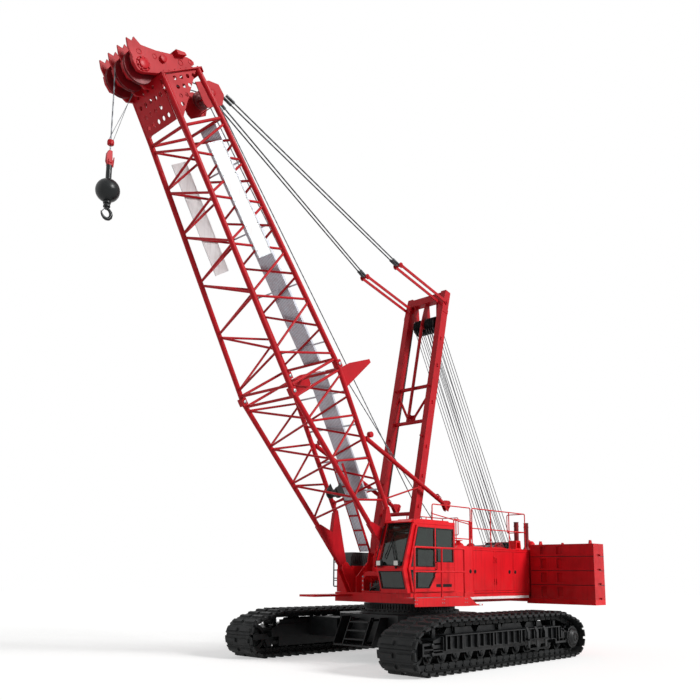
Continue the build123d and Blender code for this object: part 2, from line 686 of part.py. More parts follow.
def counterweight_tray():
    """Tray under both stacks, joined behind the bed."""
    inner = BED_HALF_WIDTH + 60
    front = WEIGHT_FRONT
    outline = []
    for side in (1, -1):
        leg = [(BED_REAR - 30, side * inner), (front, side * inner)] + weight_plan(side, 0)[1:4]
        outline.extend(leg if side > 0 else reversed(leg))
    order = outline[:5] + [(WEIGHT_REAR, 1500), (WEIGHT_REAR, -1500)] + outline[5:]
    tray = deck_plate(order, TRAY_BOTTOM, TRAY_TOP)
    tray += box(BED_REAR - 0.3 - 200, BED_REAR - 0.3, -1300, 1300, TRAY_TOP - 10, BED_TOP)
    return tray


# ---------------------------------------------------------------- boom
def line(start, end, along):
    """Half width, underside and back offsets of the chord lines at a distance along the boom."""
    share = (along - start[0]) / (end[0] - start[0])
    return [start[i] + (end[i] - start[i]) * share for i in (1, 2, 3)]


def corner(start, end, along, chord):
    """Point on one of the four chords, named by side and face."""
    half, low, high = line(start, end, along)
    side, face = chord
    return (along, side * half, low if face == "belly" else high)


CHORDS = ((-1, "belly"), (1, "belly"), (1, "back"), (-1, "back"))


def chord_tubes(start, end, first, last):
    """Four chords, their ends cut flush with the section's end planes."""
    tubes = []
    for c in CHORDS:
        tube = rod(corner(start, end, first - 40, c), corner(start, end, last + 40, c), CHORD_RADIUS)
        tube = split(tube, bisect_by=Plane((first + FIT_GAP / 2, 0, 0), z_dir=(1, 0, 0)), keep=Keep.TOP)
        tubes.append(split(tube, bisect_by=Plane((last - FIT_GAP / 2, 0, 0), z_dir=(1, 0, 0)),
                           keep=Keep.BOTTOM))
    return tubes


def lacings(start, end, stations):
    """Warren zigzag on all four faces: every face steps from chord to chord at each station."""
    direction = {c: Vector(*corner(start, end, end[0], c))
                 - Vector(*corner(start, end, start[0], c)) for c in CHORDS}
    tubes = []
    # the two chords of a face, and which of them the first station sits on
    faces = ((CHORDS[0], CHORDS[1]), (CHORDS[2], CHORDS[1]), (CHORDS[3], CHORDS[2]), (CHORDS[0], CHORDS[3]))
    for first, second in faces:
        for i, (a, b) in enumerate(zip(stations, stations[1:])):
            from_chord, to_chord = (first, second) if i % 2 == 0 else (second, first)
            tubes.append(mitred(corner(start, end, a - LACING_SPREAD, from_chord),
                                corner(start, end, b + LACING_SPREAD, to_chord), LACING_RADIUS,
                                tuple(direction[from_chord]), tuple(direction[to_chord]), CHORD_RADIUS))
    return tubes


def end_frame(start, end, along):
    """Four straight tubes that square off the end of a section."""
    direction = {c: Vector(*corner(start, end, end[0], c))
                 - Vector(*corner(start, end, start[0], c)) for c in CHORDS}
    ring = list(CHORDS) + [CHORDS[0]]
    return [mitred(corner(start, end, along, a), corner(start, end, along, b), LACING_RADIUS + 6,
                   tuple(direction[a]), tuple(direction[b]), CHORD_RADIUS) for a, b in zip(ring, ring[1:])]


def top_stations():
    span = RING_AT - BUTT_LENGTH - 430
    first = span * (TOP_BAY_GROWTH - 1) / (TOP_BAY_GROWTH ** TOP_BAYS - 1)
    stations = [RING_AT - 160]
    for i in range(TOP_BAYS):
        stations.append(stations[-1] - first * TOP_BAY_GROWTH ** i)
    return stations


def butt_stations():
    high, low = BUTT_LENGTH - 230, FOOT_BOX_END[0] + 180
    return [high - (high - low) * i / BUTT_BAYS for i in range(BUTT_BAYS + 1)]


def foot_boxes():
    """V-shaped boom feet: a boss on each foot pin and two side plates that spread to the chords."""
    shapes = []
    s, half, low, high = FOOT_BOX_END
    for side in (-1, 1):
        y = side * FOOT_HALF_WIDTH
        outline = [(-60, -95), (60, -110), (s - 14, low - 60), (s - 14, low + 70), (s * 0.72, 90),
                   (s - 14, high - 80), (s - 14, high + 60), (60, 110), (-60, 95)]
        foot = side_plate(outline, y - FOOT_THICKNESS / 2, y + FOOT_THICKNESS / 2)
        foot += disc(0, 0, 118, y - FOOT_THICKNESS / 2, y + FOOT_THICKNESS / 2)
        shapes.append(foot - disc(0, 0, FOOT_PIN_RADIUS + 0.3, y - 120, y + 120))
    return shapes


def section_lugs():
    """Pinned connector blocks where the butt and the top section meet."""
    shapes = []
    for c in CHORDS:
        x, y, z = corner(RING, JOINT, BUTT_LENGTH, c)
        shapes.append(box(x - LUG_HALF, x + LUG_HALF, y - 85, y + 85, z - 80, z + 80))
    return shapes


def head_plates():
    """Perforated gusset plates on the underside and both flanks of the boom head."""
    shapes = []
    s0, s1 = RING_AT + 120, RING_AT + HEAD_LENGTH
    half0, low0, _ = line(RING, FLANGE, s0)
    half1, low1, high1 = line(RING, FLANGE, s1)
    belly = Pos(0, 0, 0) * deck_plate([(s0, -half0 + 70), (s0, half0 - 70), (s1, half1 - 70),
                                       (s1, -half1 + 70)], -12, 12)
    for i in range(4):
        for j in range(5):
            x = s0 + 170 + i * 230
            y = (j - 2) * 200 + (50 if i % 2 else 0)
            if abs(y) < half1 - 170:
                belly -= Pos(x, y, 0) * Cylinder(52, 60)
    tilt = math.degrees(math.atan2(low1 - low0, s1 - s0))
    under = CHORD_RADIUS / math.cos(math.radians(tilt)) + FIT_GAP + 12
    shapes.append(Pos(s0, 0, low0 - under) * Rot(0, -tilt, 0) * Pos(-s0, 0, 0) * belly)
    clear = CHORD_RADIUS + 3 * FIT_GAP / 2
    flank = side_plate([(s0, low0 + clear), (s1 - 8, low1 + clear), (s1 - 8, high1 - clear)], -11, 11)
    for x, z in ((s1 - 120, -280), (s1 - 120, -80), (s1 - 120, 120), (s1 - 120, 300), (s1 - 320, -300),
                 (s1 - 320, -110),
                 (s1 - 320, 70), (s1 - 520, -330), (s1 - 520, -150), (s1 - 700, -380)):
        flank -= disc(x, z, 48, -30, 30)
    for side in (-1, 1):
        yaw = math.degrees(math.atan2(half1 - half0, s1 - s0))
        shapes.append(Pos(s0, side * half0, 0) * Rot(0, 0, side * yaw) * Pos(-s0, 0, 0) * flank)
    return shapes


CHEEK_YS = (-560, -190, 190, 560)
FLANGE_THICKNESS = 30
LUG_PIN = (RING_AT + HEAD_LENGTH - 425, 1400)
LUG_PIN_RADIUS = 40
LUG_EARS = (-305, 0, 305)


def head_cheeks():
    """Machined cheek plates that carry the head sheaves in front and the pendant lug behind."""
    sx, sz = HEAD_SHEAVE_AT
    flange = RING_AT + HEAD_LENGTH + FIT_GAP
    base = flange + FLANGE_THICKNESS + FIT_GAP
    outline = [(base, -640), (base + 60, -1330), (base + 420, -1420), (base + 900, -1240),
               (base + 1000, -980),
               (base + 760, -420), (base + 300, 240), (base, 560)]
    shapes = []
    for y in CHEEK_YS:
        cheek = side_plate(outline, y - 20, y + 20)
        shapes.append(cheek - disc(sx, sz, 70.3, y - 30, y + 30))
    shapes.append(disc(sx, sz, 70, -600, 600))
    rim = CHORD_RADIUS + 14
    plate = box(flange, flange + FLANGE_THICKNESS, -FLANGE[1] - rim, FLANGE[1] + rim, FLANGE[2] - rim,
                FLANGE[3] + rim)
    shapes.append(plate - box(flange - 5, flange + 50, -FLANGE[1] + 130, FLANGE[1] - 130, FLANGE[2] + 130,
                              FLANGE[3] - 130))
    return shapes


def pendant_head_lug():
    """Rear lug on the head where the pendants are pinned: cross tubes between the back chords and two ears."""
    base = RING_AT + HEAD_LENGTH
    chords = (CHORDS[2], CHORDS[3])
    direction = {c: Vector(*corner(RING, FLANGE, RING[0], c))
                 - Vector(*corner(RING, FLANGE, FLANGE[0], c)) for c in chords}
    lug = None
    for x in (base - 720, base - 130):
        tube = mitred(corner(RING, FLANGE, x, chords[0]), corner(RING, FLANGE, x, chords[1]), 45,
                      tuple(direction[chords[0]]), tuple(direction[chords[1]]), CHORD_RADIUS)
        lug = tube if lug is None else lug + tube
    px, pz = LUG_PIN
    for y in LUG_EARS:
        lug += side_plate([(base - 760, 560), (base - 90, 530), (px + 85, pz + 20), (px + 40, pz + 80),
                           (px - 40, pz + 80), (px - 85, pz + 20)],
                          y - 15, y + 15)
    return [lug + disc(px, pz, LUG_PIN_RADIUS, LUG_EARS[0], LUG_EARS[-1])]


def head_sheaves():
    """Two rope sheaves on the head shaft."""
    sx, sz = HEAD_SHEAVE_AT
    shapes = []
    for y in (-375, 0, 375):
        shapes.append(sheave(sx, sz, HEAD_SHEAVE_RADIUS, 70.5, y, 70))
    return shapes


def sheave(x, z, radius, bore, y, width):
    """A grooved rope wheel with a bore."""
    groove = 26
    floor = radius - GROOVE_DEPTH
    profile = Polyline((bore, -width / 2), (radius, -width / 2), (radius, -groove), (floor, -10), (floor, 10),
                       (radius, groove), (radius, width / 2), (bore, width / 2), close=True)
    wheel = revolve(Plane.XZ * make_face(profile.edges()), Axis.Z)
    return Pos(x, y, z) * Rot(90, 0, 0) * wheel


def catwalk():
    """Walkway planks along the middle of the boom's back, one length per section."""
    shapes = []
    for start, end, first, last in ((FOOT_BOX_END, JOINT, 1700, BUTT_LENGTH - 120),
                                    (JOINT, RING, BUTT_LENGTH + 120, RING_AT)):
        slope = (end[3] - start[3]) / (end[0] - start[0])
        lift = CHORD_RADIUS / math.cos(math.atan(slope)) + FIT_GAP
        z0 = line(start, end, first)[2] + lift
        z1 = line(start, end, last)[2] + lift
        shapes.append(side_plate([(first, z0 + 30), (last, z1 + 30), (last, z1 + 90), (first, z0 + 90)], -300,
                                 300))
        for share in (0.08, 0.33, 0.58, 0.83):
            x = first + (last - first) * share
            z = z0 + (z1 - z0) * share
            half = line(start, end, x)[0]
            d = 20 * slope
            shapes.append(side_plate([(x - 20, z - d), (x + 20, z + d), (x + 20, z + d + 29),
                                      (x - 20, z - d + 29)], -half, half))
    return shapes


def sign_boards():
    """Blank boards along both flanks of the top section."""
    first, last = 8650, 11450
    shapes = []
    for side in (-1, 1):
        h0, h1 = (line(JOINT, RING, x)[0] + LACING_RADIUS + 1.5 * FIT_GAP for x in (first, last))
        z = -200
        plan = [(first, side * h0), (last, side * h1), (last, side * (h1 + 12)), (first, side * (h0 + 12))]
        board = Pos(0, 0, z) * extrude(make_face(Polyline(*plan, close=True).edges()), 470)
        shapes.append(board)
    return shapes


def boom_stops():
    """Tubular boom stops behind the butt with the thin bars that hold them."""
    shapes = []
    top_x, tip_x, tip_z, bar_x, bar_top_x = 3420, 170, 2960, 1700, 1250
    slope = (JOINT[3] - FOOT_BOX_END[3]) / (JOINT[0] - FOOT_BOX_END[0])
    chord_top = CHORD_RADIUS / math.cos(math.atan(slope)) + FIT_GAP
    for side in (-1, 1):
        half, _, back = line(FOOT_BOX_END, JOINT, top_x)
        y = side * half
        seat = back + chord_top
        angle = math.atan2(tip_z - seat, top_x - tip_x)
        top_z = seat + STOP_RADIUS * (math.cos(angle) + slope * math.sin(angle))
        stop = rod((top_x, y, top_z), (tip_x, y, tip_z), STOP_RADIUS)
        tube_z = top_z + (tip_z - top_z) * (top_x - bar_top_x) / (top_x - tip_x)
        bar_half, _, bar_back = line(FOOT_BOX_END, JOINT, bar_x)
        bar_y = side * bar_half
        stop += rod((bar_x, bar_y, bar_back + chord_top + 40), (bar_top_x, y, tube_z), STOP_BAR_RADIUS)
        for x, lug_y, rise in ((top_x, y, top_z - back), (bar_x, bar_y, CHORD_RADIUS + 70)):
            z0, z1 = (line(FOOT_BOX_END, JOINT, at)[2] + chord_top for at in (x - 110, x + 110))
            top = line(FOOT_BOX_END, JOINT, x)[2] + rise
            stop += side_plate([(x - 110, z0), (x + 110, z1), (x + 30, top), (x - 30, top)], lug_y - 18,
                               lug_y + 18)
        shapes.append(stop)
    return shapes


def rope_guide():
    """Rope guide behind the section joint: wedge arms and two guide rollers."""
    shapes = []
    first, last = BUTT_LENGTH - 640, BUTT_LENGTH - 130
    slope = (JOINT[3] - FOOT_BOX_END[3]) / (JOINT[0] - FOOT_BOX_END[0])
    top = CHORD_RADIUS / math.cos(math.atan(slope)) + FIT_GAP
    low0, low1 = (line(FOOT_BOX_END, JOINT, x)[2] + top for x in (first, last))
    width = line(FOOT_BOX_END, JOINT, first)[0]
    for side in (-1, 1):
        y = side * width
        shapes.append(side_plate([(first, low0), (last, low1), (last - 10, 1300), (BUTT_LENGTH - 330, 2080),
                                  (BUTT_LENGTH - 430, 2080)], y - 15, y + 15))
    for x, z in ((BUTT_LENGTH - 385, 1960), (BUTT_LENGTH - 230, 1260)):
        shapes.append(rod((x, -width + 15 + FIT_GAP, z), (x, width - 15 - FIT_GAP, z), 55))
    return shapes


# ---------------------------------------------------------------- mast
def mast_legs():
    """Two box legs with an eye at the foot and a plated top."""
    shapes = []
    w, d = MAST_LEG_WIDTH / 2, MAST_LEG_DEPTH / 2
    for side in (-1, 1):
        y = side * MAST_LEG_Y
        leg = side_plate([(-40, -90), (300, -d), (MAST_LENGTH - 500, -d), (MAST_LENGTH, -90),
                          (MAST_LENGTH, 150), (MAST_LENGTH - 500, d),
                          (300, d), (-40, 90)], y - w, y + w)
        leg += disc(0, 0, 98, y - w, y + w)
        shapes.append(leg - disc(0, 0, 60.3, y - 200, y + 200))
    return shapes


def mast_cross_members():
    """Cross tubes between the legs, a V brace over the middle one and a strut up to the sheave block."""
    inner = MAST_LEG_Y - MAST_LEG_WIDTH / 2 - 0.3
    low, high = MAST_TUBES[1], MAST_TUBES[2]
    tubes = [rod((x, -inner, 0), (x, inner, 0), 55) for x in MAST_TUBES]
    frame = tubes[1] + box(low, low + 230, -170, 170, -14, 14)
    for side in (-1, 1):
        frame += rod((low + 60, side * 70, 0), (high - 190, side * (inner + 60), 0), 38)
    frame += rod((low + 120, 0, MAST_STRUT_Z), (MAST_HANGER - FIT_GAP, 0, MAST_STRUT_Z), 48)
    frame += box(low + 120, low + 230, -30, 30, MAST_STRUT_Z, 0)
    return [tubes[0], frame & box(0, MAST_HANGER - FIT_GAP, -inner, inner, -300, 400), tubes[2]]


def mast_top_block():
    """Box head between the legs with hanger plates for the reeving sheaves."""
    inner = MAST_LEG_Y - MAST_LEG_WIDTH / 2 - 0.3
    block = box(MAST_LENGTH - 300, MAST_LENGTH - 60, -inner, inner, -110, 110)
    for y, low in ((-430, 60), (0, MAST_STRUT_Z - 48), (430, 60)):
        outline = [(MAST_HANGER, low), (MAST_HANGER + 150, low), (MAST_LENGTH - 300, -90),
                   (MAST_LENGTH - 300, 100),
                   (MAST_LENGTH - 800, 260), (MAST_HANGER, 260)]
        block += side_plate(outline, y - 15, y + 15)
    return block - disc(MAST_HANGER + 150, 160, 50.3, -600, 600)


def mast_shaft_and_pins():
    shapes = [disc(MAST_HANGER + 150, 160, 50, -500, 500)]
    for side in (-1, 1):
        for cheek in (-1, 1):
            root = side * MAST_LEG_Y + cheek * (MAST_LEG_WIDTH / 2 + 0.3)
            y0, y1 = sorted((root, root + cheek * (LINK_THICKNESS + 22)))
            shapes.append(disc(PENDANT_AT, 0, PENDANT_PIN_RADIUS, y0, y1))
    return shapes


def mast_sheaves():
    """Reeving sheaves of the boom hoist."""
    return [sheave(MAST_HANGER + 150, 160, 250, 50.5, y, 60) for y in (-340, -250, -160, -70 - 15, 85,
                                                                       160 + 10, 250 + 5, 345)]


# ---------------------------------------------------------------- pendants
LINK_END = (1220, 11140)


def pendant_links():
    """Two eye bars per side that straddle the mast leg, joined by a pin at their outer end."""
    shapes = []
    mx, mz = mast_point(PENDANT_AT, 0)
    ex, ez = LINK_END
    length = math.hypot(ex - mx, ez - mz)
    rise = math.degrees(math.atan2(ez - mz, ex - mx))
    for side in (-1, 1):
        for cheek in (-1, 1):
            y = side * MAST_LEG_Y + cheek * (MAST_LEG_WIDTH / 2 + 2 + LINK_THICKNESS / 2)
            bar = box(0, length, y - LINK_THICKNESS / 2, y + LINK_THICKNESS / 2, -45, 45)
            for x in (0, length):
                bar += disc(x, 0, 82, y - LINK_THICKNESS / 2, y + LINK_THICKNESS / 2)
            bar -= disc(0, 0, PENDANT_PIN_RADIUS + 0.3, y - 60, y + 60)
            bar -= disc(length, 0, LINK_PIN_RADIUS + 0.3, y - 60, y + 60)
            shapes.append(Pos(mx, 0, mz) * Rot(0, -rise, 0) * bar)
        reach = MAST_LEG_WIDTH / 2 + 2 + LINK_THICKNESS + 18
        shapes.append(disc(ex, ez, LINK_PIN_RADIUS, side * MAST_LEG_Y - reach, side * MAST_LEG_Y + reach))
    return shapes


def pendant_yokes():
    """Plates hung on the rear lug pin, beside each rope socket with room for it to slide between them."""
    hx, hz = boom_point(*LUG_PIN)
    ex, ez = LINK_END
    drop = math.degrees(math.atan2(hz - ez, hx - ex))
    skew = math.degrees(math.atan2(MAST_LEG_Y - PENDANT_HEAD_Y, math.hypot(hx - ex, hz - ez)))
    bar = box(0, YOKE_LENGTH, -5, 5, -55, 55) + disc(0, 0, 72, -5, 5) - disc(0, 0, LUG_PIN_RADIUS + 0.8, -20, 20)
    return [Pos(hx, side * (PENDANT_HEAD_Y + shift), hz) * Rot(0, 180 - drop, 0) * Rot(0, 0, side * skew) * bar
            for side in (-1, 1) for shift in (-123, 0, 123)]


def pendant_ropes():
    """Two ropes per side, with their sockets, from the link pins to the rear lug of the boom head."""
    hx, hz = boom_point(*LUG_PIN)
    ex, ez = LINK_END
    shapes = []
    for side in (-1, 1):
        for shift in (-1, 1):
            a = Vector(ex, side * MAST_LEG_Y + shift * 52, ez)
            b = Vector(hx, side * PENDANT_HEAD_Y + shift * 62, hz)
            along = (b - a).normalized()
            skew = SOCKET_RADIUS * abs(along.Y)
            low = a + along * (LINK_PIN_RADIUS + skew + FIT_GAP)
            high = b - along * (LUG_PIN_RADIUS + skew + PENDANT_PLAY)
            rope = rod(tuple(low), tuple(high), PENDANT_RADIUS)
            rope += rod(tuple(low), tuple(low + along * 260), SOCKET_RADIUS)
            rope += rod(tuple(high - along * 260), tuple(high), SOCKET_RADIUS)
            shapes.append(rope)
    return shapes


# ---------------------------------------------------------------- hoist line and hook
def hoist_line():
    """Single part of line from the head sheave to the rope socket, with its trip weight and socket."""
    top = boom_point(*HEAD_SHEAVE_AT)[1]
    line_rod = rod((line_x(), 0, BALL_CENTRE + BALL_RADIUS + 320), (line_x(), 0, top), ROPE_RADIUS)
    return [line_rod]


def trip_weight():
    ring = Pos(line_x(), 0, 11470) * Cylinder(75, 130)
    return ring - Pos(line_x(), 0, 11470) * Cylinder(ROPE_RADIUS + 0.3, 200)


def overhaul_ball():
    """Swivel and overhaul ball, cast in one piece."""
    ball = Pos(line_x(), 0, BALL_CENTRE) * Sphere(BALL_RADIUS)
    ball += rod((line_x(), 0, BALL_CENTRE), (line_x(), 0, BALL_CENTRE + BALL_RADIUS + 319.7), 62)
    return ball


def hook():
    """Forged hook below the ball."""
    z = BALL_CENTRE - BALL_RADIUS
    shank = rod((line_x(), 0, z - 190), (line_x(), 0, z - 0.3), 38)
    bowl = Pos(line_x(), 0, z - 270) * Rot(90, 0, 0) * (extrude(Circle(130) - Pos(20, 0) * Circle(78), 34,
                                                                both=True))
    mouth = box(line_x() + 40, line_x() + 200, -60, 60, z - 270, z - 150)
    return shank + (bowl - mouth)


# ---------------------------------------------------------------- winches and deck gear
# name, shaft X, shaft Z, barrel radius, flange radius, half length
DRUMS = (
    ("front_hoist_drum", -1000, 2720, 260, 420, 560),
    ("rear_hoist_drum", -2150, 2720, 260, 420, 560),
    ("boom_hoist_drum", -3900, 3010, 200, 340, 560),
)


def drum(x, z, barrel, flange, half):
    """Winch drum: barrel, two flanges and a bore for its shaft."""
    shape = disc(x, z, barrel, -half, half)
    for side in (-1, 1):
        y0, y1 = sorted((side * half, side * (half - 35)))
        shape += disc(x, z, flange, y0, y1)
    return shape - disc(x, z, 60.5, -half - 5, half + 5)


def winch_frames():
    """Bearing cheeks and the fixed shafts of the three winches."""
    shapes = []
    for _, x, z, _, flange, half in DRUMS:
        for side in (-1, 1):
            y = side * (half + 60)
            shapes.append(side_plate([(x - 380, BED_TOP + 0.3), (x + 380, BED_TOP + 0.3), (x + 160, z + 150),
                                      (x - 160, z + 150)], y - 18, y + 18)
                          - disc(x, z, 60.3, y - 30, y + 30))
        shapes.append(disc(x, z, 60, -half - 90, half + 90))
    return shapes


def exhaust_pipes():
    return [rod((x, 950, HOUSE_TOP + 0.3), (x, 950, HOUSE_TOP + 900), 75) for x in (-4300, -4900)]


def engine_block():
    return box(-3500, -1200, 900, 1450, BED_TOP + 0.3, 2750)


def hydraulic_tank():
    return box(-3500, -1800, -1500, -850, BED_TOP + 0.3, 2850)


def right_front_box():
    """Tank and step box ahead of the right bay."""
    return side_plate([(-400, BED_TOP + 0.3), (1290, BED_TOP + 0.3), (1290, 2440), (1180, 2540),
                       (-400, 2540)], -1650, -1120)


def front_platform():
    """Narrow ledge that reaches forward on the right of the bed."""
    return box(BED_FRONT - 10, 2950, -1450, -850, BED_TOP - 110, BED_TOP - 50)


def cab_base():
    """Box girder beside the bed that carries the cab."""
    return box(-430, 2330, BED_HALF_WIDTH + 0.3, CAB_OUTER, BED_TOP - 90, CAB_FLOOR - 0.3)


def cab_rear_box():
    """Body panel between the cab and the engine doors."""
    return side_plate([(-430, CAB_FLOOR), (CAB_REAR - 10, CAB_FLOOR), (CAB_REAR - 10, 3000), (200, HOUSE_TOP),
                       (-430, HOUSE_TOP)], CAB_INNER + 60, CAB_OUTER - 60)


def build():
    os.makedirs("parts", exist_ok=True)
    save("carbody", [carbody()])
    save("carbody_steps", carbody_steps())
    save("slew_ring", [slew_ring()])
    for name, side in (("left", 1), ("right", -1)):
        save(f"{name}_track_frame", [track_frame(side)])
        save(f"{name}_track", [track_loop(side)])
        save(f"{name}_track_wheels", track_wheels(side))
        save(f"{name}_counterweights", counterweights(side))
        for door, front, rear, hinged in DOORS:
            save(f"{name}_{door}", [engine_door(side, front, rear, hinged)])
    save("rotating_bed", [rotating_bed()])
    save("pivot_brackets", pivot_brackets())
    save("house_walls", [house_walls()])
    save("deck_rails", deck_rails())
    save("cab_walkway", cab_walkway())
    save("cab_shell", [cab_shell()])
    save("cab_glass", cab_glass())
    save("cab_door", [cab_door()])
    save("cab_door_glass", cab_door_glass())
    save("operator_seat", [operator_seat()])
    save("cab_base", [cab_base(), cab_rear_box()])
    save("counterweight_tray", [counterweight_tray()])
    save("engine_block", [engine_block()])
    save("hydraulic_tank", [hydraulic_tank()])
    save("right_front_box", [right_front_box()])
    save("exhaust_pipes", exhaust_pipes())
    save("winch_frames", winch_frames())
    for name, x, z, barrel, flange, half in DRUMS:
        save(name, [drum(x, z, barrel, flange, half)])
    save("boom_feet", on_boom(foot_boxes()))
    save("butt_chords", on_boom(chord_tubes(FOOT_BOX_END, JOINT, FOOT_BOX_END[0] - 14, BUTT_LENGTH - LUG_HALF)))
    butt = lacings(FOOT_BOX_END, JOINT, butt_stations()) + end_frame(FOOT_BOX_END, JOINT, BUTT_LENGTH - 150)
    save("butt_lacings", on_boom(butt))
    save("section_lugs", on_boom(section_lugs()))
    top = chord_tubes(JOINT, RING, BUTT_LENGTH + LUG_HALF, RING_AT) + chord_tubes(RING, FLANGE, RING_AT, FLANGE[0])
    save("top_chords", on_boom(top))
    ends = end_frame(JOINT, RING, BUTT_LENGTH + 150) + end_frame(JOINT, RING, RING_AT - 55)
    save("top_lacings", on_boom(lacings(JOINT, RING, top_stations()) + ends))
    save("head_plates", on_boom(head_plates()))
    save("head_cheeks", on_boom(head_cheeks() + pendant_head_lug()) + pendant_yokes())
    save("head_sheaves", on_boom(head_sheaves()))
    save("boom_catwalk", on_boom(catwalk()))
    save("sign_boards", on_boom(sign_boards()))
    save("boom_stops", on_boom(boom_stops()))
    save("rope_guide", on_boom(rope_guide()))
    save("mast_legs", on_mast(mast_legs()))
    save("mast_cross_members", on_mast(mast_cross_members()))
    save("mast_top_block", on_mast([mast_top_block()] + mast_shaft_and_pins()))
    save("mast_sheaves", on_mast(mast_sheaves()))
    save("pendant_links", pendant_links())
    save("pendant_ropes", pendant_ropes())
    save("hoist_line", hoist_line())
    save("trip_weight", [trip_weight()])
    save("overhaul_ball", [overhaul_ball()])
    save("hook", [hook()])


build()
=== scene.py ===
import json
from math import asin, atan2, cos, exp, hypot, pi, radians, sin
import bpy
import bmesh
from mathutils import Matrix, Vector


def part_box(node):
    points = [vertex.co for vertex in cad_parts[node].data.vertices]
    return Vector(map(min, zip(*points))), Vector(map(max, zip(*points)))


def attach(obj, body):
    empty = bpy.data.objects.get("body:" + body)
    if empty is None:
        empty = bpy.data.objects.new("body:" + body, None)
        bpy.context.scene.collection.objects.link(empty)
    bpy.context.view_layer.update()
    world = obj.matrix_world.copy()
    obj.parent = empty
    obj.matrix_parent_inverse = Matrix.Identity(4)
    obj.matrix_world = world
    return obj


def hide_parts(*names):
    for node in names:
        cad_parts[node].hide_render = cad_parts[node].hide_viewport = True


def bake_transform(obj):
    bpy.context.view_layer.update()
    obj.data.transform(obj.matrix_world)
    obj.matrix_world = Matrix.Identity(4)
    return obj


# Crawler crane with a lattice boom. Metres, +X forwards, +Y to the cab side, +Z up.
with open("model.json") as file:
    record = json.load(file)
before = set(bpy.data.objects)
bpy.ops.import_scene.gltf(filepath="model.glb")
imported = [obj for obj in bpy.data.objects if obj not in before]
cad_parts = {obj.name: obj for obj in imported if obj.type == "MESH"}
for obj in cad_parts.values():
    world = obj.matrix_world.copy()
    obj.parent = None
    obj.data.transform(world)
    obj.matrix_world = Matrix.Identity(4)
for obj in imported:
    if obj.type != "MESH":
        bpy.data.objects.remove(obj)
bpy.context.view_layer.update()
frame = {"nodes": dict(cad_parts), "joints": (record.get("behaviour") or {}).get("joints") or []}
joints = {joint["name"]: joint for joint in frame["joints"]}


def newObject(name, data):
    made = bpy.data.objects.new(name, data)
    bpy.context.collection.objects.link(made)
    return made


cameraValues = {
    "place": (17.848, 14.598, 2.303),
    "heading": -136.41,    # degrees from +X
    "pitch": 9.621,
    "roll": 0.422,
    "lens": 40.378,
    "rise": 0.13,    # lens shift
}


def makeCamera(v):
    data = bpy.data.cameras.new("viewCamera")
    data.lens, data.sensor_width, data.shift_y = v["lens"], 36.0, v["rise"]
    data.clip_start, data.clip_end = 0.1, 400.0
    camera = newObject("viewCamera", data)
    yaw, pitch, roll = (radians(v[k]) for k in ("heading", "pitch", "roll"))
    ahead = Vector((cos(yaw) * cos(pitch), sin(yaw) * cos(pitch), sin(pitch)))
    right = ahead.cross(Vector((0, 0, 1))).normalized()
    up = right.cross(ahead)
    turnedRight = cos(roll) * right + sin(roll) * up
    turnedUp = cos(roll) * up - sin(roll) * right
    turn = Matrix((turnedRight, turnedUp, -ahead)).transposed().to_4x4()
    camera.matrix_world = Matrix.Translation(v["place"]) @ turn
    bpy.context.scene.camera = camera


makeCamera(cameraValues)
bpy.context.scene.view_settings.view_transform = "Standard"


def linearColour(code):
    parts = [int(code[i:i + 2], 16) / 255 for i in (1, 3, 5)]
    return tuple(c / 12.92 if c <= 0.04045 else ((c + 0.055) / 1.055) ** 2.4 for c in parts) + (1.0,)


def addNode(tree, kind, inputs=None, **settings):    # inputs: numbers, colour codes, nodes or sockets
    node = tree.nodes.new(kind)
    for key, value in settings.items():
        setattr(node, key, value)
    for key, value in (inputs or {}).items():
        if isinstance(value, str) and value.startswith("#"):
            value = linearColour(value)
        if isinstance(value, bpy.types.Node):
            value = next(out for out in value.outputs if out.enabled)
        if isinstance(value, bpy.types.NodeSocket):
            tree.links.new(value, node.inputs[key])
        else:
            node.inputs[key].default_value = value
    return node


def patternScale(sizeMm):
    return 1000.0 / sizeMm     # a pattern of this size, on coordinates in metres


def emptyMaterial(name):
    material = bpy.data.materials.new(name)
    material.use_nodes = True
    tree = material.node_tree
    tree.nodes.clear()
    return material, tree


